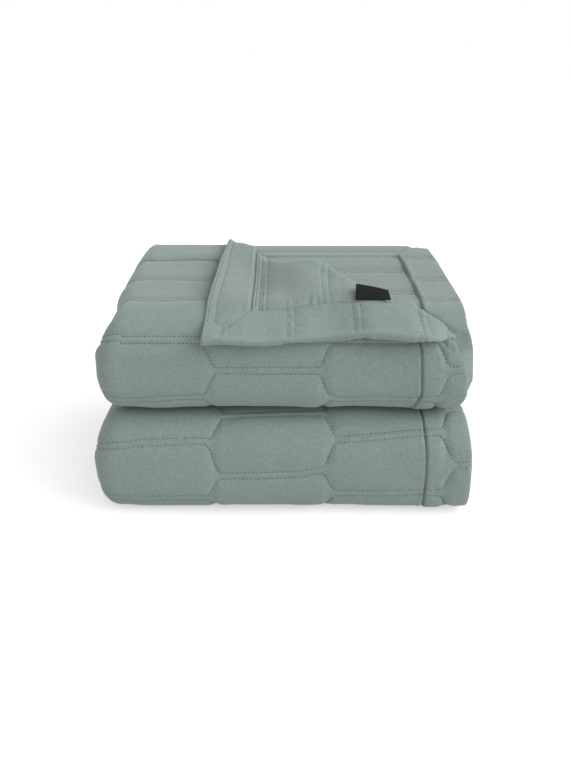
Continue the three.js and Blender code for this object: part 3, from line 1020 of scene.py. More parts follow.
    def face_shown(self, u: Array, v: Array) -> Array:
        """Return where the face shows its quilting, from 0 in the pack to 1 outside.

        Args:
            u: Distances from the side edge.
            v: Distances from the end edge of the upper layer.

        Returns:
            One share for each place.
        """
        across = smooth((self.folds.wrap_end - u) / self.wrap_fade)
        upper = smooth((self.upper_end - v) / self.shown_fade)
        lower = smooth((v - self.lower_zone.start + self.lower_lead) / self.shown_fade)
        lower_end = self.route.starts[Route.BOTTOM] - self.lower_margin
        lower = lower * smooth((lower_end - v) / self.shown_fade)
        return across * np.maximum(upper, lower) * self.is_upper(v)

    def relief(self, u: Array, v: Array, side: Side) -> Array:
        """Return how deep the stitching presses into one side of the cloth.

        Args:
            u: Distances from the side edge.
            v: Distances from the end edge of the upper layer.
            side: The side that is looked at.

        Returns:
            Depths below the crown of the cells.
        """
        stitches = self.stitch_distance(u, v, side)
        line = self.channel_depth * bell(stitches, self.channel_width)
        line = line + self.valley_depth * bell(stitches, self.valley_width)
        puckers = self.pucker * self.pucker_waves.height(u, v) * bell(stitches, self.pucker_width)
        if side is Side.FACE:
            seam = np.maximum(self.hem - u, self.face_end_seam - v)
            ditch = self.face_seam_depth * bell(seam, self.face_seam_width)
            ditch = ditch + self.seam_share * bell(seam, self.channel_width)
            ridge = self.seam_ridge * bell(seam + self.face_ridge_place, self.seam_ridge_width)
            bulge = self.face_hem_bulge * smooth(seam / self.face_bulge_blend + 0.5)
            return (line + puckers + ditch - ridge - bulge) * self.face_shown(u, v)
        seam = self.before_seam(u, v)
        from_end = np.minimum(v, self.length - v)
        at_end = smooth((u - from_end) / self.hem_corner_blend)
        open_seam = at_end * self.is_upper(v)
        closed = at_end * (~self.is_upper(v)) * self.closed_share
        shown = np.maximum(self.turned(u, v), self.bared(u, v))
        ridge = self.seam_ridge * bell(seam - self.seam_ridge_place, self.seam_ridge_width)
        bulge = self.hem_bulge * smooth(seam / self.hem_bulge_blend + 0.5) * (1 - closed)
        slit_width = self.slit_width + self.open_slit_extra * open_seam
        slit = self.slit_depth * (1 + open_seam) * bell(seam + self.slit_place, slit_width) * (1 - closed)
        fold = self.fold_depth * open_seam * bell(seam + self.fold_place, self.fold_width)
        mitre = bell((u - from_end) / math.sqrt(2), self.mitre_width) * smooth(seam / self.mitre_start)
        flat = smooth(np.minimum(u, from_end) / self.edge_flat)
        pressed = (line + puckers) * self.reverse_share * flat + slit + fold + self.mitre_depth * mitre
        return (pressed - ridge - bulge) * shown

    def half_thickness(self, u: Array, v: Array, side: Side) -> Array:
        """Return half the thickness of the ply, rounded off at its edges.

        Args:
            u: Distances from the side edge.
            v: Distances from the end edge of the upper layer.
            side: The side that is looked at.

        Returns:
            One distance out from the middle for each place.
        """
        from_edge = np.minimum(np.minimum(u, self.folds.width - u), np.minimum(v, self.length - v))
        near = np.clip(from_edge / self.edge_round[side], 0, 1)
        rounding = np.sqrt(1 - (1 - near) ** 2)
        return (self.ply / 2 - self.gap / 2) * (self.edge_floor + (1 - self.edge_floor) * rounding)

    def sway(self, u: Array, v: Array) -> Array:
        """Return how far the middle of the ply stands out from its even place, towards its face.

        Args:
            u: Distances from the side edge.
            v: Distances from the end edge of the upper layer.

        Returns:
            One distance for each place.
        """
        near = smooth(np.minimum(u, np.minimum(v, self.length - v)) / self.edge_calm)
        uneven = self.unevenness * self.soft_waves.height(u, v) * near
        face = self.face_shown(u, v) * uneven
        for crease in self.face_creases:
            face = face + crease.at(u, v) * (1 - self.turned(u, v)) * self.is_upper(v)
        turned = self.turned(u, v)
        back = turned * uneven
        for crease in self.corner_creases:
            back = back + crease.at(u, v) * turned
        return np.where(self.corner.distance(u, v) > 0, -back, face) * self.is_upper(v)

    def surface(self, u: Array, v: Array, side: Side, proud: float = 0.0) -> Array:
        """Return points of one side of the folded cloth.

        Args:
            u: Distances from the side edge.
            v: Distances from the end edge of the upper layer.
            side: The side that is wanted.
            proud: How far the points stand out from it.

        Returns:
            An array with X, Y and Z in its last axis.
        """
        u, v = (np.asarray(part, float) for part in np.broadcast_arrays(u, v))
        out = self.half_thickness(u, v, side) - self.relief(u, v, side) + proud
        return self.place(u, v, side.value * out + self.sway(u, v))


@dataclass(frozen=True)
class Band:
    """A band of columns or rows of the sheet's grid, with fine lines for each side and coarse ones."""

    name: str
    fine: dict[Side, tuple[int, ...]]
    coarse: tuple[int, ...]

    def lines(self, side: Side, is_fine: bool) -> tuple[int, ...]:
        """Return the lines of the band for a side, at the wanted density."""
        return self.fine[side] if is_fine else self.coarse


@dataclass
class SheetSkin:
    """One side of the sheet as polygons, fine where it shows and coarse inside the pack."""

    side: Side
    columns: Sequence[Band]
    rows: Sequence[Band]
    fine: frozenset[tuple[str, str]]
    used: Array = field(default_factory=lambda: np.zeros(0))

    def __post_init__(self) -> None:
        """Mark the places of the grid that its cells use."""
        shape = (self.columns[-1].coarse[-1] + 1, self.rows[-1].coarse[-1] + 1)
        self.used = np.zeros(shape, bool)
        for column_lines, row_lines in self.blocks():
            self.used[np.ix_(column_lines, row_lines)] = True

    def blocks(self) -> Iterable[tuple[tuple[int, ...], tuple[int, ...]]]:
        """Yield the column lines and row lines of each block of cells.

        Yields:
            The column lines and the row lines.
        """
        for column in self.columns:
            for row in self.rows:
                is_fine = (column.name, row.name) in self.fine
                yield column.lines(self.side, is_fine), row.lines(self.side, is_fine)

    def cells(self) -> list[list[tuple[int, int]]]:
        """Return each cell as the places round it, with those that finer neighbours add.

        Returns:
            The places round each cell, as column numbers and row numbers.
        """
        found: list[list[tuple[int, int]]] = []
        for column_lines, row_lines in self.blocks():
            for left, right in zip(column_lines, column_lines[1:]):
                for low, high in zip(row_lines, row_lines[1:]):
                    ring = [(i, low) for i in range(left, right) if self.used[i, low]]
                    ring += [(right, j) for j in range(low, high) if self.used[right, j]]
                    ring += [(i, high) for i in range(right, left, -1) if self.used[i, high]]
                    ring += [(left, j) for j in range(high, low, -1) if self.used[left, j]]
                    found.append(ring)
        return found


@dataclass(frozen=True)
class GridLine:
    """A line of the sheet's grid, at a distance or at a line number of a zone of quilting."""

    value: float
    zone: StitchZone | None = None
    sides: tuple[Side, ...] = (Side.FACE, Side.REVERSE)


@dataclass
class GridLines:
    """Lines of the sheet's grid in order, collected into bands."""

    lines: list[GridLine] = field(default_factory=list)
    bands: list[Band] = field(default_factory=list)

    def add(self, name: str, lines: Sequence[GridLine], coarse: Callable[[int], bool]) -> None:
        """Add a band that starts on the last line so far.

        Args:
            name: The band's name.
            lines: Its lines in order.
            coarse: Says which of them, by place in the band, the coarse choice keeps.
        """
        first = max(0, len(self.lines) - 1)
        self.lines.extend(lines)
        indices = range(first, len(self.lines))
        last = len(indices) - 1
        fine = {side: tuple(index for index in indices if side in self.lines[index].sides) for side in Side}
        kept = tuple(index for place, index in enumerate(indices) if place in (0, last) or coarse(place))
        self.bands.append(Band(name, fine, kept))


@dataclass
class SheetGrid:
    """The grid of the sheet, whose rows follow the quilting where the face shows it."""

    cloth: FoldedCloth
    column_step: float = 4.4
    row_step: float = 1.45
    step_mark: float = 2.0
    step_reach: float = 0.36
    seam_mark: float = 0.55
    seam_reach: float = 1.6
    edge_column_mark: float = 0.9
    edge_row_mark: float = 0.7
    row_seam_past: float = 2.0
    row_seam_reach: float = 3.4
    edge_steps: tuple[float, ...] = (0.0, 0.7, 2.0, 4.2)
    row_shares: tuple[float, ...] = (
        0.0, 0.028, 0.06, 0.1, 0.15, 0.21, 0.29, 0.39, 0.5, 0.61, 0.71, 0.79, 0.85, 0.9, 0.94, 0.972,
    )
    coarse_every: int = 12
    coarse_columns: int = 8
    wrap_columns: int = 16
    inner_columns: int = 4
    turn_columns: int = 8
    nose_rows: int = 12
    under_nose_rows: int = 15
    edge_turn_rows: int = 8
    corner_lines: int = 7
    after_nose: float = 60.0
    before_nose: float = 30.0
    before_bottom: float = 12.0
    after_bottom: float = 14.0
    before_turn: float = 60.0
    bared_rows: tuple[float, ...] = (286.0, 272.0, 258.0, 250.0)
    bared_start: float = 300.0
    bared_spread: int = 6
    lower_numbers: tuple[float, float] = (-1.51, 3.5)
    under_last: float = 5.5
    too_close: float = 0.05
    nudge: float = 0.1

    def column_places(self) -> Array:
        """Return the distances from the side edge of the columns across the flat face pair.

        Returns:
            The distances in rising order.
        """
        cloth = self.cloth
        first = cloth.folds.first_edge
        marks = [Mark(cloth.hem, self.seam_mark, self.seam_reach), Mark(0.0, self.edge_column_mark, 0.0)]
        for edge in cloth.quilting.edges:
            marks.append(Mark(first - edge.place, self.step_mark, self.step_reach * edge.width))
        inner = spaced(self.edge_steps[-1], cloth.folds.panel_ends[0], self.column_step, marks)
        return np.array([*self.edge_steps[:-1], *inner])

    def columns(self) -> GridLines:
        """Return the columns of the sheet, from the side edge that shows to the inner one.

        Returns:
            The columns, in bands.
        """
        folds = self.cloth.folds
        lines = GridLines()
        places = self.column_places()
        split = int(np.searchsorted(places, self.cloth.corner_reach))
        every = self.coarse_columns
        lines.add("corner", self.plain(*places[: split + 1]), lambda place: place % every == 0)
        lines.add("left", self.plain(*places[split + 1 :]), lambda place: place % every == 0)
        wrap = np.linspace(folds.panel_ends[0], folds.wrap_end, self.wrap_columns + 1)[1:]
        lines.add("wrap", self.plain(*wrap), lambda place: place % 2 == 0)
        inner: list[float] = []
        for start, end in zip(folds.panel_ends[1::2], folds.panel_ends[2::2]):
            inner += np.linspace(start, end, self.inner_columns + 1)[1:].tolist()
            turn_end = folds.panel_ends[folds.panel_ends.index(end) + 1]
            inner += np.linspace(end, turn_end, self.turn_columns + 1)[1:].tolist()
        last = folds.width - self.edge_steps[3]
        inner += np.linspace(inner[-1], last, self.inner_columns + 1)[1:].tolist()
        inner += [folds.width - step for step in self.edge_steps[2::-1]]
        lines.add("inner", self.plain(*inner), lambda place: True)
        return lines

    @staticmethod
    def plain(*places: float, sides: tuple[Side, ...] = tuple(Side)) -> list[GridLine]:
        """Return straight lines at these distances."""
        return [GridLine(float(place), None, sides) for place in places]

    def zone_rows(
        self, zone: StitchZone, first: float, last: float, sides: tuple[Side, ...] = tuple(Side)
    ) -> list[GridLine]:
        """Return rows between two line numbers of a zone, close together at its lines.

        Args:
            zone: The zone of quilting.
            first: The number after which they start.
            last: The number at which they end.
            sides: The sides of the sheet that use them.

        Returns:
            The rows in order.
        """
        rows: list[GridLine] = []
        for number in range(math.floor(first), math.ceil(last) + 1):
            for share in self.row_shares:
                if first < number + share <= last:
                    rows.append(GridLine(number + share, zone, sides))
        return rows

    def even_rows(self, start: float, end: float) -> list[float]:
        """Return places from start to end, closer at the edge of the cloth and at the seam of its hem.

        Args:
            start: The first place.
            end: The last place.

        Returns:
            The places in order.
        """
        seam = self.cloth.hem + self.row_seam_past
        marks = [Mark(0.0, self.edge_row_mark, 0.0), Mark(seam, self.seam_mark, self.row_seam_reach)]
        return spaced(start, end, self.row_step, marks)

    def corner_rows(self) -> list[GridLine]:
        """Return the rows of the turned corner, even on the reverse and along the quilting on the face.

        Returns:
            The rows in order.
        """
        cloth = self.cloth
        zone = cloth.upper_zone
        edge = np.array([cloth.folds.first_edge])

        def at_edge(row: GridLine) -> float:
            """Return where a row meets the side edge.

            Args:
                row: The row that is meant.

            Returns:
                Its distance from the end edge there.
            """
            if row.zone is None:
                return row.value
            return float(cloth.quilting.line(row.zone, np.array([row.value]), edge)[0])

        first = self.straight(zone, 0.5)
        middles = [self.straight(zone, number + 0.5) for number in range(1, self.corner_lines + 1)]
        face_rows = self.zone_rows(zone, 0.5, self.corner_lines + 0.5, (Side.FACE,))
        face = [row for row in face_rows if row.value % 1 != 0.5]
        taken = np.array([at_edge(row) for row in face] + middles)
        found: list[float] = []
        for start, end in zip([first, *middles], middles):
            found += self.even_rows(start, end)[1:-1]
        nudges = [self.nudge * float(np.min(np.abs(taken - place)) < self.too_close) for place in found]
        clear = [place + nudge for place, nudge in zip(found, nudges)]
        rows = face + self.plain(*clear, sides=(Side.REVERSE,)) + self.plain(*middles)
        return sorted(rows, key=at_edge)

    def straight(self, zone: StitchZone, number: float) -> float:
        """Return where a row halfway between two lines of a zone lies, which is straight."""
        return zone.start + zone.phase + number * self.cloth.quilting.repeat / 2

    def rows(self) -> GridLines:
        """Return the rows of the sheet, from the free end of its upper layer to that of its lower one.

        Returns:
            The rows, in bands.
        """
        cloth = self.cloth
        route = cloth.route
        lines = GridLines()
        half = len(self.row_shares) // 2
        every = self.coarse_every
        corner = self.corner_rows()
        back = np.linspace(route.starts[Route.BACK], route.starts[Route.THIRD], self.nose_rows + 1).tolist()
        end = self.even_rows(0.0, self.straight(cloth.upper_zone, 0.5))
        lines.add("end", self.plain(*end), lambda place: place % every == 0)
        lines.add("corner", corner, lambda place: corner[place - 1].sides == tuple(Side))
        last = cloth.upper_zone.last_line + 0.5
        upper = self.zone_rows(cloth.upper_zone, self.corner_lines + 0.5, last)
        lines.add("upper", upper, lambda place: place % half == 0)
        second, third = route.starts[Route.SECOND], route.starts[Route.THIRD]
        hidden = [second + self.after_nose, route.starts[Route.BACK] - self.before_nose, *back]
        hidden += [third + self.after_nose, route.starts[Route.LOWER] - self.before_nose]
        lines.add("hidden", self.plain(*hidden), lambda place: True)
        lower = self.zone_rows(cloth.lower_zone, *self.lower_numbers)
        lines.add("lower", lower, lambda place: place % half == 0)
        bottom_start = route.starts[Route.BOTTOM]
        bottom = [bottom_start - self.before_bottom, bottom_start + self.after_bottom]
        bottom += [cloth.turn_start - self.before_turn, cloth.turn_start - self.before_bottom]
        turn = HALF_TURN * cloth.turn_radius * np.arange(0, self.edge_turn_rows + 1) / self.edge_turn_rows
        bottom += (cloth.turn_start + turn).tolist()
        lines.add("bottom", self.plain(*bottom), lambda place: True)
        nose_end = bottom_start + self.after_bottom
        under = np.linspace(nose_end, route.starts[Route.LOWER], self.under_nose_rows).tolist()
        under += hidden[::-1]
        under += np.linspace(second + self.before_bottom, self.bared_start, self.bared_spread).tolist()
        under += self.bared_rows
        lines.add("under", self.plain(*(cloth.length - place for place in under)), lambda place: True)
        beneath = self.even_rows(0.0, self.straight(cloth.under_zone, self.under_last))[::-1]
        ends = self.plain(*(cloth.length - place for place in beneath))
        lines.add("end_under", ends, lambda place: place % every == 0)
        return lines

    def places(self, columns: GridLines, rows: GridLines) -> tuple[Array, Array]:
        """Return u and v at each crossing of a column and a row.

        Args:
            columns: The columns of the grid.
            rows: The rows of the grid.

        Returns:
            Two arrays with a column for each column and a row for each row of the grid.
        """
        cloth = self.cloth
        folds = cloth.folds
        across = np.array([line.value for line in columns.lines])
        u = np.repeat(across[:, None], len(rows.lines), axis=1)
        v = np.zeros_like(u)
        fade = smooth((folds.panel_ends[2] - across) / (folds.panel_ends[2] - folds.wrap_end))
        x = folds.first_edge - np.minimum(across, folds.panel_ends[0])
        for index, row in enumerate(rows.lines):
            if row.zone is None:
                v[:, index] = row.value
                continue
            number = np.full_like(across, row.value)
            line = cloth.quilting.line(row.zone, number, x)
            straight = cloth.quilting.line(row.zone, number, np.full_like(x, folds.left_edge))
            v[:, index] = straight + (line - straight) * fade
        return u, v


def make_object(name: str, points: Array, faces: Sequence[Sequence[int]]) -> bpy.types.Object:
    """Return a new mesh object in the frame of the part.

    Args:
        name: The object's name.
        points: Its points in millimetres, in the drawing frame of the pack.
        faces: Its faces, as lists of point numbers.

    Returns:
        The object, in metres, with smooth shading.
    """
    mesh = bpy.data.meshes.new(name)
    moved = (np.asarray(points) + np.array(FOOTPRINT_SHIFT)) * MM
    mesh.from_pydata(moved.tolist(), [], [list(face) for face in faces])
    mesh.polygons.foreach_set("use_smooth", [True] * len(mesh.polygons))
    mesh.update()
    made = bpy.data.objects.new(name, mesh)
    bpy.context.scene.collection.objects.link(made)
    return made


def set_uv(made: bpy.types.Object, places: Array) -> None:
    """Give each corner of a mesh the place of its point on the flat cloth, in metres.

    Args:
        made: The object that has the mesh.
        places: The places of its points, in millimetres.
    """
    mesh = made.data
    corners = np.zeros(len(mesh.loops), np.int32)
    mesh.loops.foreach_get("vertex_index", corners)
    layer = mesh.uv_layers.new(name="cloth")
    layer.data.foreach_set("uv", (places[corners] * MM).astype(np.float32).ravel())


@dataclass(frozen=True)
class Shade:
    """A colour, linear red, green and blue."""

    red: float
    green: float
    blue: float

    def darker(self, share: float) -> Shade:
        """Return the shade with a share of its light."""
        return Shade(self.red * share, self.green * share, self.blue * share)

    def rgba(self) -> tuple[float, float, float, float]:
        """Return it with full alpha."""
        return (self.red, self.green, self.blue, 1.0)


class NodeMaterial:
    """A node material with helpers that add and join its nodes."""

    def __init__(self, name: str) -> None:
        """Start an empty node tree with a shader and an output.

        Args:
            name: The name of the material.
        """
        self.material = bpy.data.materials.new(name)
        self.material.use_nodes = True
        self.tree = self.material.node_tree
        self.tree.nodes.clear()
        self.shader = self.add("ShaderNodeBsdfPrincipled")
        output = self.add("ShaderNodeOutputMaterial")
        self.join(self.shader.outputs["BSDF"], output.inputs["Surface"])

    def add(self, kind: str, **settings: object) -> bpy.types.Node:
        """Return a new node of a kind, with some of its settings changed.

        Args:
            kind: The kind of node.
            settings: The settings by name.

        Returns:
            The node.
        """
        node = self.tree.nodes.new(kind)
        for name, value in settings.items():
            setattr(node, name, value)
        return node

    def join(self, output: bpy.types.NodeSocket, socket: bpy.types.NodeSocket) -> None:
        """Link an output to an input."""
        self.tree.links.new(output, socket)

    def cloth_place(self, scale: Vector) -> bpy.types.NodeSocket:
        """Return the place on the flat cloth, scaled.

        Args:
            scale: How much each direction is scaled.

        Returns:
            The output that holds the place.
        """
        place = self.add("ShaderNodeUVMap", uv_map="cloth")
        mapping = self.add("ShaderNodeMapping")
        mapping.inputs["Scale"].default_value = scale
        self.join(place.outputs["UV"], mapping.inputs["Vector"])
        return mapping.outputs["Vector"]

    def noise(self, scale: Vector, detail: float, roughness: float) -> bpy.types.NodeSocket:
        """Return a noise over the flat cloth, with a scale for each direction.

        Args:
            scale: How fine the noise is in each direction.
            detail: How many finer layers it has.
            roughness: How strong the finer layers are.

        Returns:
            The output that holds the noise.
        """
        node = self.add("ShaderNodeTexNoise")
        node.inputs["Scale"].default_value = 1.0
        node.inputs["Detail"].default_value = detail
        node.inputs["Roughness"].default_value = roughness
        self.join(self.cloth_place(scale), node.inputs["Vector"])
        return node.outputs["Fac"]

    def ramp(
        self, source: bpy.types.NodeSocket, stops: Sequence[tuple[float, Shade]]
    ) -> bpy.types.NodeSocket:
        """Return a colour ramp of a value, with a shade at each stop.

        Args:
            source: The output that holds the value.
            stops: The places of the shades and the shades.

        Returns:
            The output that holds the colour.
        """
        node = self.add("ShaderNodeValToRGB")
        elements = node.color_ramp.elements
        while len(elements) < len(stops):
            elements.new(0.5)
        for element, (position, shade) in zip(elements, stops):
            element.position = position
            element.color = shade.rgba()
        self.join(source, node.inputs["Fac"])
        return node.outputs["Color"]

    def math(self, operation: str, first: bpy.types.NodeSocket, second: object) -> bpy.types.NodeSocket:
        """Return a sum or product of a value and another value or number.

        Args:
            operation: What is worked out.
            first: The output that holds the value.
            second: The other output, or a number.

        Returns:
            The output that holds the result.
        """
        node = self.add("ShaderNodeMath", operation=operation)
        self.join(first, node.inputs[0])
        if isinstance(second, (int, float)):
            node.inputs[1].default_value = second
        else:
            self.join(second, node.inputs[1])
        return node.outputs[0]

    def bump(self, height: bpy.types.NodeSocket, distance: float, strength: float) -> None:
        """Set the shader's normal from a height.

        Args:
            height: The output that holds the height.
            distance: The height of 1, in metres.
            strength: How much of it shows, from 0 to 1.
        """
        node = self.add("ShaderNodeBump")
        node.inputs["Distance"].default_value = distance
        node.inputs["Strength"].default_value = strength
        self.join(height, node.inputs["Height"])
        self.join(node.outputs["Normal"], self.shader.inputs["Normal"])


@dataclass(frozen=True)
class BrushedCotton:
    """Sage green brushed cotton with a slightly streaky plain weave."""

    dark: Shade = Shade(0.178, 0.232, 0.212)
    light: Shade = Shade(0.305, 0.378, 0.350)
    thread: float = 0.42
    streak: float = 3.2
    roughness: float = 0.93
    specular: float = 0.2
    sheen: float = 0.34
    sheen_roughness: float = 0.5
    sheen_tint: Shade = Shade(0.92, 0.92, 0.91)
    streak_share: float = 0.35
    slub_share: float = 0.36
    cloud_share: float = 0.28
    dark_at: float = 0.34
    light_at: float = 0.68
    bump_depth: float = 0.0004
    bump_strength: float = 0.55

    def material(self) -> bpy.types.Material:
        """Return the material of the cloth.

        Returns:
            The new material.
        """
        made = NodeMaterial("brushed_cotton")
        per_thread = 1 / (self.thread * MM)
        per_streak = 1 / (self.streak * MM)
        along = made.noise(Vector((per_thread, per_streak * self.streak_share, 1)), 3.0, 0.6)
        across = made.noise(Vector((per_streak * self.streak_share, per_thread, 1)), 3.0, 0.6)
        cloud = made.noise(Vector((per_streak, per_streak, 1)), 4.0, 0.65)
        slubs = made.math("ADD", along, across)
        weave = made.math("MULTIPLY", slubs, self.slub_share)
        mixed = made.math("ADD", weave, made.math("MULTIPLY", cloud, self.cloud_share))
        colour = made.ramp(mixed, [(self.dark_at, self.dark), (self.light_at, self.light)])
        made.join(colour, made.shader.inputs["Base Color"])
        made.shader.inputs["Roughness"].default_value = self.roughness
        made.shader.inputs["Specular IOR Level"].default_value = self.specular
        made.shader.inputs["Sheen Weight"].default_value = self.sheen
        made.shader.inputs["Sheen Roughness"].default_value = self.sheen_roughness
        made.shader.inputs["Sheen Tint"].default_value = self.sheen_tint.rgba()
        made.bump(slubs, self.bump_depth, self.bump_strength)
        return made.material


@dataclass(frozen=True)
class ThreadWithPaintedShade:
    """Sewing thread with painted shade: coloured darker than the cloth for the shaded dimple it sits in."""

    # Darker than the cloth: painted shade of the dimple that each stitch sinks into.
    colour: Shade = Shade(0.125, 0.166, 0.152)
    dark_share: float = 0.6
    fleck_scale: float = 900.0
    roughness: float = 0.7

    def material(self) -> bpy.types.Material:
        """Return the material of the thread.

        Returns:
            The new material.
        """
        made = NodeMaterial("thread_with_painted_shade")
        noise = made.add("ShaderNodeTexNoise")
        noise.inputs["Scale"].default_value = self.fleck_scale
        # Random darker flecks on top of the thread's painted shade.
        stops = [(0.3, self.colour.darker(self.dark_share)), (0.7, self.colour)]
        made.join(made.ramp(noise.outputs["Fac"], stops), made.shader.inputs["Base Color"])
        made.shader.inputs["Roughness"].default_value = self.roughness
        return made.material


@dataclass(frozen=True)
class BlackSatin:
    """The plain black satin weave of the label."""

    dark: Shade = Shade(0.0045, 0.005, 0.0055)
    light: Shade = Shade(0.016, 0.017, 0.018)
    weave_scale: tuple[float, float, float] = (2600.0, 900.0, 1.0)
    roughness: float = 0.55
    specular: float = 0.15
    bump_depth: float = 0.0002
    bump_strength: float = 0.5

    def material(self) -> bpy.types.Material:
        """Return the material of the label.

        Returns:
            The new material.
        """
        made = NodeMaterial("black_satin")
        weave = made.noise(Vector(self.weave_scale), 2.0, 0.5)
        made.join(made.ramp(weave, [(0.35, self.dark), (0.7, self.light)]), made.shader.inputs["Base Color"])
        made.shader.inputs["Roughness"].default_value = self.roughness
        made.shader.inputs["Specular IOR Level"].default_value = self.specular
        made.bump(weave, self.bump_depth, self.bump_strength)
        return made.material


@dataclass
class Bedspread:
    """The folded bedspread as one closed thin sheet."""

    cloth: FoldedCloth
    finish: BrushedCotton = BrushedCotton()
    cut_size: tuple[float, float] = (2.1, 2.0)
    fine_face: frozenset[tuple[str, str]] = frozenset(
        (column, row)
        for column in ("corner", "left", "wrap")
        for row in ("end", "corner", "upper", "lower")
    )
    fine_reverse: frozenset[tuple[str, str]] = frozenset(
        {("corner", "end"), ("corner", "corner"), ("corner", "end_under")}
    )

    def build(self) -> bpy.types.Object:
        """Return the sheet as an object, with the places of its points on the flat cloth.

        Returns:
            The object.
        """
        grid = SheetGrid(self.cloth)
        columns, rows = grid.columns(), grid.rows()
        u, v = grid.places(columns, rows)
        skins = {
            Side.FACE: SheetSkin(Side.FACE, columns.bands, rows.bands, self.fine_face),
            Side.REVERSE: SheetSkin(Side.REVERSE, columns.bands, rows.bands, self.fine_reverse),
        }
        self.share_border(skins[Side.FACE].used, skins[Side.REVERSE].used)
        points: list[Array] = []
        flat: list[Array] = []
        faces: list[list[int]] = []
        numbers: dict[Side, Array] = {}
        count = 0
        for side, skin in skins.items():
            used = skin.used
            number = np.full(used.shape, -1)
            number[used] = count + np.arange(used.sum())
            numbers[side] = number
            points.append(self.cloth.surface(u[used], v[used], side))
            flat.append(np.stack([u[used], v[used]], axis=1))
            count += int(used.sum())
            for ring in skin.cells():
                cell = [int(number[place]) for place in ring]
                faces.append(cell if side is Side.FACE else cell[::-1])
        for here, there in self.border_steps(skins[Side.FACE].used):
            face, reverse = numbers[Side.FACE], numbers[Side.REVERSE]
            faces.append([int(face[there]), int(face[here]), int(reverse[here]), int(reverse[there])])
        made = make_object("bedspread_cloth", np.concatenate(points), faces)
        set_uv(made, np.concatenate(flat))
        made.data.materials.append(self.finish.material())
        return made

    @staticmethod
    def share_border(first: Array, second: Array) -> None:
        """Give both sides of the sheet the same places round its edge.

        Args:
            first: The places that one side uses, which is changed.
            second: The places that the other side uses, which is changed.
        """
        for edge in (np.s_[0, :], np.s_[-1, :], np.s_[:, 0], np.s_[:, -1]):
            both = first[edge] | second[edge]
            first[edge] = both
            second[edge] = both

    @staticmethod
    def border_steps(used: Array) -> Iterable[tuple[tuple[int, int], tuple[int, int]]]:
        """Yield each pair of neighbouring places round the edge of the sheet.

        Args:
            used: The places that both sides use round the edge.

        Yields:
            Two neighbouring places on the edge.
        """
        last_column, last_row = used.shape[0] - 1, used.shape[1] - 1
        ring = [(i, 0) for i in range(last_column)]
        ring += [(last_column, j) for j in range(last_row)]
        ring += [(i, last_row) for i in range(last_column, 0, -1)]
        ring += [(0, j) for j in range(last_row, 0, -1)]
        kept = [place for place in ring if used[place]]
        yield from zip(kept, kept[1:] + kept[:1])


class Place(Enum):
    """Where on the cloth a line of quilting is seen."""

    FACE = "face"
    PANEL = "panel"
    SIDE_HEM = "side hem, turned over"
    END_HEM = "end hem, turned over"
    UNDER = "lower layer"
    UNDER_SIDE_HEM = "side hem of the lower layer, turned over"


@dataclass(frozen=True)
class StitchRow:
    """A run of stitches along a line on one side of the cloth."""

    side: Side
    line: Callable[[Array], tuple[Array, Array]]
    start: float
    end: float
    within: Callable[[Array, Array], Array] = lambda u, v: np.ones(u.shape, bool)


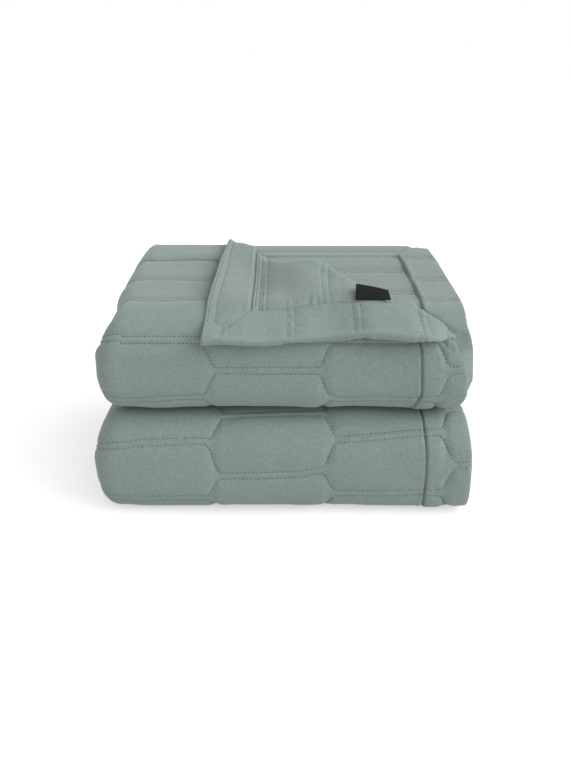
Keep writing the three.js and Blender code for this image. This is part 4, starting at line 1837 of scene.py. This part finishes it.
@dataclass
class Stitches:
    """All the stitches that show, joined in one mesh."""

    cloth: FoldedCloth
    finish: ThreadWithPaintedShade = ThreadWithPaintedShade()
    pitch: float = 3.95
    length: float = 1.9
    width: float = 1.2
    height: float = 0.5
    sides: int = 6
    shoulder: float = 0.3
    proud: float = 0.05
    sample: float = 0.5
    from_edge: float = 3.0
    wrap_short: float = 24.0
    corner_width: float = 240.0
    bared_width: float = 245.0
    seam_clear: float = 1.0
    panel_lines: int = 8
    end_lines: int = 3
    edge_clear: float = 2.0
    fold_clear: float = 8.0
    face_shown: float = 0.5
    turned_shown: float = 0.8

    def rows(self) -> list[StitchRow]:
        """Return the rows of stitches that show, on the face, the turned corner and the bared ply.

        Returns:
            The rows.
        """
        cloth = self.cloth
        folds = cloth.folds
        hem = cloth.hem
        in_hem = hem - self.seam_clear
        start = self.from_edge
        found: list[StitchRow] = []

        def across(zone: StitchZone, number: int, where: Place) -> Callable[[Array], tuple[Array, Array]]:
            """Return a line of quilting as a function of the distance from the side edge.

            Args:
                zone: The stretch of quilted cloth that is meant.
                number: The number of the line.
                where: Where on the cloth it is seen.

            Returns:
                The function.
            """

            def line(u: Array) -> tuple[Array, Array]:
                """Return the places on the cloth at these distances.

                Args:
                    u: Distances from the side edge.

                Returns:
                    The distances from the side edge and from the end edge.
                """
                sign = 1 if where in (Place.SIDE_HEM, Place.UNDER_SIDE_HEM) else -1
                x = folds.first_edge + sign * np.minimum(u, folds.panel_ends[0])
                if where in (Place.UNDER, Place.UNDER_SIDE_HEM):
                    x = x + cloth.under_shifts[0]
                quilting = cloth.quilting if where is Place.FACE else cloth.turned_quilting
                along = quilting.line(zone, np.full_like(u, float(number)), x)
                if where is Place.END_HEM:
                    return u, -along - cloth.end_turn
                if where in (Place.UNDER, Place.UNDER_SIDE_HEM):
                    return u, cloth.length - along
                return u, along

            return line

        for zone in (cloth.upper_zone, cloth.lower_zone):
            for number in range(zone.first_line, zone.last_line + 1):
                line = across(zone, number, Place.FACE)
                found.append(StitchRow(Side.FACE, line, start, folds.wrap_end - self.wrap_short))
        for number in range(self.panel_lines):
            line = across(cloth.panel_zone, number, Place.PANEL)
            found.append(StitchRow(Side.REVERSE, line, hem, self.corner_width, lambda u, v: v > hem))
            line = across(cloth.strip_zone, number - 1, Place.SIDE_HEM)
            found.append(StitchRow(Side.REVERSE, line, start, in_hem, lambda u, v: u <= v))
        for number in range(-self.end_lines, 0):
            line = across(cloth.strip_zone, number, Place.END_HEM)
            found.append(
                StitchRow(Side.REVERSE, line, start, self.corner_width, lambda u, v: (v < in_hem) & (v < u))
            )
        for number in range(cloth.under_zone.first_line, cloth.under_zone.last_line):
            line = across(cloth.under_zone, number, Place.UNDER)
            found.append(StitchRow(Side.REVERSE, line, cloth.hem_under, self.bared_width))
            line = across(cloth.under_zone, number, Place.UNDER_SIDE_HEM)
            found.append(StitchRow(Side.REVERSE, line, start, cloth.hem_under - self.seam_clear))
        return found

    def centres(self) -> tuple[Array, Array, Array]:
        """Return the middle, direction and upward direction of each stitch that shows.

        Returns:
            Three arrays with X, Y and Z in their last axis.
        """
        cloth = self.cloth
        middles: list[Array] = []
        directions: list[Array] = []
        ups: list[Array] = []
        for row in self.rows():
            steps = np.arange(row.start, row.end, self.sample)
            u, v = row.line(steps)
            travelled = np.concatenate([[0.0], np.cumsum(np.hypot(np.diff(u), np.diff(v)))])
            marks = np.arange(self.pitch / 2, travelled[-1], self.pitch)
            at = np.interp(marks, travelled, steps)
            u, v = row.line(at)
            u_next, v_next = row.line(at + self.sample)
            keep = self.shows(u, v, row.side) & row.within(u, v)
            u, v, u_next, v_next = (part[keep] for part in (u, v, u_next, v_next))
            if not len(u):
                continue
            point = cloth.surface(u, v, row.side, self.proud)
            ahead = cloth.surface(u_next, v_next, row.side, self.proud) - point
            higher = cloth.surface(u, v, row.side, self.proud + 1.0) - point
            middles.append(point)
            directions.append(ahead)
            ups.append(higher)
        return np.concatenate(middles), np.concatenate(directions), np.concatenate(ups)

    def shows(self, u: Array, v: Array, side: Side) -> Array:
        """Return which places show on a side, so that no stitch is made inside the pack.

        Args:
            u: Distances from the side edge.
            v: Distances from the end edge of the upper layer.
            side: The side that is looked at.

        Returns:
            True or false for each place.
        """
        cloth = self.cloth
        inside = (v > self.edge_clear) & (v < cloth.length - self.edge_clear)
        if side is Side.FACE:
            before_fold = cloth.corner.distance(u, v) < -self.fold_clear
            return inside & (cloth.face_shown(u, v) > self.face_shown) & before_fold
        return inside & (np.maximum(cloth.turned(u, v), cloth.bared(u, v)) > self.turned_shown)

    def build(self) -> bpy.types.Object:
        """Return the stitches as one joined mesh object.

        Returns:
            The object.
        """
        middle, direction, up = self.centres()
        direction /= np.linalg.norm(direction, axis=1, keepdims=True)
        side = np.cross(direction, up)
        side /= np.linalg.norm(side, axis=1, keepdims=True)
        up = np.cross(side, direction)
        turns = 2 * math.pi * np.arange(self.sides) / self.sides
        ring = np.stack([np.cos(turns) * self.width / 2, np.sin(turns) * self.height / 2], axis=1)
        template: list[tuple[float, float, float]] = [(-self.length / 2, 0.0, 0.0)]
        for end in (-self.shoulder, self.shoulder):
            template += [(end * self.length, float(a), float(b)) for a, b in ring]
        template.append((self.length / 2, 0.0, 0.0))
        shape = np.array(template)
        axes = np.stack([direction, side, up], axis=1)
        points = middle[:, None, :] + np.einsum("pk,nkc->npc", shape, axes)
        faces: list[list[int]] = []
        last = len(template) - 1
        for number in range(self.sides):
            after = (number + 1) % self.sides
            faces.append([0, 1 + after, 1 + number])
            faces.append([1 + number, 1 + after, 1 + self.sides + after, 1 + self.sides + number])
            faces.append([last, 1 + self.sides + number, 1 + self.sides + after])
        count = len(template)
        starts = [count * index for index in range(len(middle))]
        every = [[corner + start for corner in face] for start in starts for face in faces]
        made = make_object("quilting_stitches", points.reshape(-1, 3), every)
        made.data.materials.append(self.finish.material())
        return made


@dataclass(frozen=True)
class LabelCorner:
    """A corner of the label: which corner it is, where it lies on the cloth, and how far it stands out."""

    share_u: int
    share_v: int
    u: float
    v: float
    rise: float


@dataclass
class WovenLabel:
    """A small plain label, sewn in where the hem meets the turned corner."""

    cloth: FoldedCloth
    finish: BlackSatin = BlackSatin()
    corners: tuple[LabelCorner, ...] = (
        LabelCorner(0, 0, 45.0, 144.5, 2.4),
        LabelCorner(0, 1, 45.5, 179.0, 2.2),
        LabelCorner(1, 0, 60.5, 146.5, 6.0),
        LabelCorner(1, 1, 56.5, 178.0, 5.0),
    )
    length: float = 36.0
    height: float = 18.0
    bow: float = 0.5
    thickness: float = 0.6
    clear: float = 0.7
    columns: int = 34
    rows: int = 18

    def build(self) -> bpy.types.Object:
        """Return the label as an object.

        Returns:
            The object.
        """
        share_v, share_u = np.meshgrid(np.linspace(0, 1, self.columns + 1), np.linspace(0, 1, self.rows + 1))
        bow = self.bow * np.sin(HALF_TURN * share_v) * share_u
        base = self.cloth.ply / 2 + self.clear
        flat = np.zeros((*share_u.shape, 3))
        upper = np.zeros((*share_u.shape, 3))
        for corner in self.corners:
            weight = np.abs(1 - corner.share_u - share_u) * np.abs(1 - corner.share_v - share_v)
            for height, points in ((base, flat), (base + self.thickness, upper)):
                place = self.cloth.place(corner.u, corner.v, -(height + corner.rise))
                points += weight[..., None] * place.reshape(3)
        lift = np.array([0.0, 0.0, 1.0]) * bow[..., None]
        upper = (upper + lift).reshape(-1, 3)
        lower = (flat + lift).reshape(-1, 3)
        u = self.height * share_u
        v = self.length * share_v
        count = len(upper)
        stride = self.columns + 1
        faces: list[list[int]] = []
        for row in range(self.rows):
            for column in range(self.columns):
                corner = row * stride + column
                ring = [corner, corner + 1, corner + stride + 1, corner + stride]
                faces.append(ring)
                faces.append([count + place for place in ring[::-1]])
        edge = [*range(stride)]
        edge += [row * stride + self.columns for row in range(1, self.rows + 1)]
        edge += [self.rows * stride + column for column in range(self.columns - 1, -1, -1)]
        edge += [row * stride for row in range(self.rows - 1, 0, -1)]
        for here, there in zip(edge, edge[1:] + edge[:1]):
            faces.append([there, here, count + here, count + there])
        made = make_object("woven_label", np.concatenate([upper, lower]), faces)
        flat = np.stack([v.ravel(), u.ravel()], axis=1)
        set_uv(made, np.concatenate([flat, flat]))
        made.data.materials.append(self.finish.material())
        return made


@dataclass(frozen=True)
class SoftLight:
    """A soft light: the way towards it, how wide it looks in degrees, and its strength."""

    name: str
    towards: tuple[float, float, float]
    spread: float
    power: float


@dataclass
class Studio:
    """The pale floor, the soft lights and the camera."""

    floor_half: float = 30.0
    floor_shade: Shade = Shade(0.75, 0.75, 0.755)
    floor_glow: float = 0.5
    floor_roughness: float = 0.9
    mottle_scale: float = 6.0
    mottle_share: float = 0.99
    camera_place: tuple[float, float, float] = (0.58, -758.5, 431.1)
    pitch: float = 17.32
    focal_pixels: float = 717.3
    shift: float = -0.12
    sensor: float = 36.0
    clip: tuple[float, float] = (0.02, 120.0)
    room_steps: tuple[float, float] = (0.12, 0.3)
    overhead: float = 0.52
    lamps: tuple[SoftLight, ...] = (
        SoftLight("key_light", (0.85, -0.25, 0.46), 45.0, 1.3),
        SoftLight("front_light", (0.58, -0.58, 0.56), 45.0, 0.64),
        SoftLight("top_light", (0.55, 0.0, 0.83), 45.0, 0.5),
    )

    def build_floor(self) -> None:
        """Make the floor under the pack."""
        half = self.floor_half / MM
        corners = np.array([(-half, -half, 0), (half, -half, 0), (half, half, 0), (-half, half, 0)])
        floor = make_object("studio_floor", corners, [[0, 1, 2, 3]])
        made = NodeMaterial("pale_floor")
        noise = made.add("ShaderNodeTexNoise")
        noise.inputs["Scale"].default_value = self.mottle_scale
        stops = [(0.4, self.floor_shade.darker(self.mottle_share)), (0.6, self.floor_shade)]
        made.join(made.ramp(noise.outputs["Fac"], stops), made.shader.inputs["Base Color"])
        made.shader.inputs["Roughness"].default_value = self.floor_roughness
        made.shader.inputs["Emission Color"].default_value = (1.0, 1.0, 1.0, 1.0)
        made.shader.inputs["Emission Strength"].default_value = self.floor_glow
        floor.data.materials.append(made.material)
        lit = bpy.data.collections.new("lit_by_floor")
        lit.objects.link(floor)
        floor.light_linking.receiver_collection = lit

    def add_light(self, lamp: SoftLight) -> None:
        """Add one soft light, which shines from far away.

        Args:
            lamp: The light.
        """
        light = bpy.data.lights.new(lamp.name, "SUN")
        light.angle = math.radians(lamp.spread)
        light.energy = lamp.power
        holder = bpy.data.objects.new(lamp.name, light)
        holder.rotation_mode = "QUATERNION"
        holder.rotation_quaternion = (-Vector(lamp.towards)).to_track_quat("-Z", "Y")
        bpy.context.scene.collection.objects.link(holder)

    def light(self) -> None:
        """Add the lights and the plain room, which is white low down and dimmer overhead."""
        for lamp in self.lamps:
            self.add_light(lamp)
        world = bpy.data.worlds.new("pale_room")
        world.use_nodes = True
        tree = world.node_tree
        surroundings = tree.nodes["Background"]
        place = tree.nodes.new("ShaderNodeTexCoord")
        parts = tree.nodes.new("ShaderNodeSeparateXYZ")
        ramp = tree.nodes.new("ShaderNodeValToRGB")
        low, high = ramp.color_ramp.elements
        low.position, high.position = self.room_steps
        low.color = (1.0, 1.0, 1.0, 1.0)
        high.color = (self.overhead, self.overhead, self.overhead, 1.0)
        tree.links.new(place.outputs["Generated"], parts.inputs["Vector"])
        tree.links.new(parts.outputs["Z"], ramp.inputs["Fac"])
        tree.links.new(ramp.outputs["Color"], surroundings.inputs["Color"])
        bpy.context.scene.world = world
        bpy.context.scene.view_settings.view_transform = "Standard"

    def add_camera(self) -> None:
        """Add the camera at the place and angle of the photograph."""
        camera = bpy.data.cameras.new("camera")
        camera.sensor_fit = "AUTO"
        camera.sensor_width = self.sensor
        camera.lens = self.sensor * self.focal_pixels / max(PICTURE)
        camera.shift_y = self.shift
        camera.clip_start, camera.clip_end = self.clip
        holder = bpy.data.objects.new("camera", camera)
        place = Vector(self.camera_place) + Vector(FOOTPRINT_SHIFT)
        turn = Matrix.Rotation(math.radians(90 - self.pitch), 4, "X")
        holder.matrix_world = Matrix.Translation(place * MM) @ turn
        bpy.context.scene.collection.objects.link(holder)
        bpy.context.scene.camera = holder

    def build(self) -> None:
        """Make the whole studio."""
        self.build_floor()
        self.light()
        self.add_camera()


def main() -> None:
    """Build the bedspread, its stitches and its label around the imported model, and light them."""
    logging.basicConfig(level=logging.INFO, format="%(name)s: %(message)s")
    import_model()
    Studio().build()
    cloth = FoldedCloth()
    spread = Bedspread(cloth).build()
    LOG.info("cloth with %d points", len(spread.data.vertices))
    stitches = Stitches(cloth).build()
    LOG.info("stitches with %d faces", len(stitches.data.polygons))
    label = WovenLabel(cloth).build()
    LOG.info("label with %d faces", len(label.data.polygons))
    for piece in (spread, stitches, label):
        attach(piece, BODY)
    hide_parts("bedspread")
    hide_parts("label")


if __name__ == "__main__":
    main()
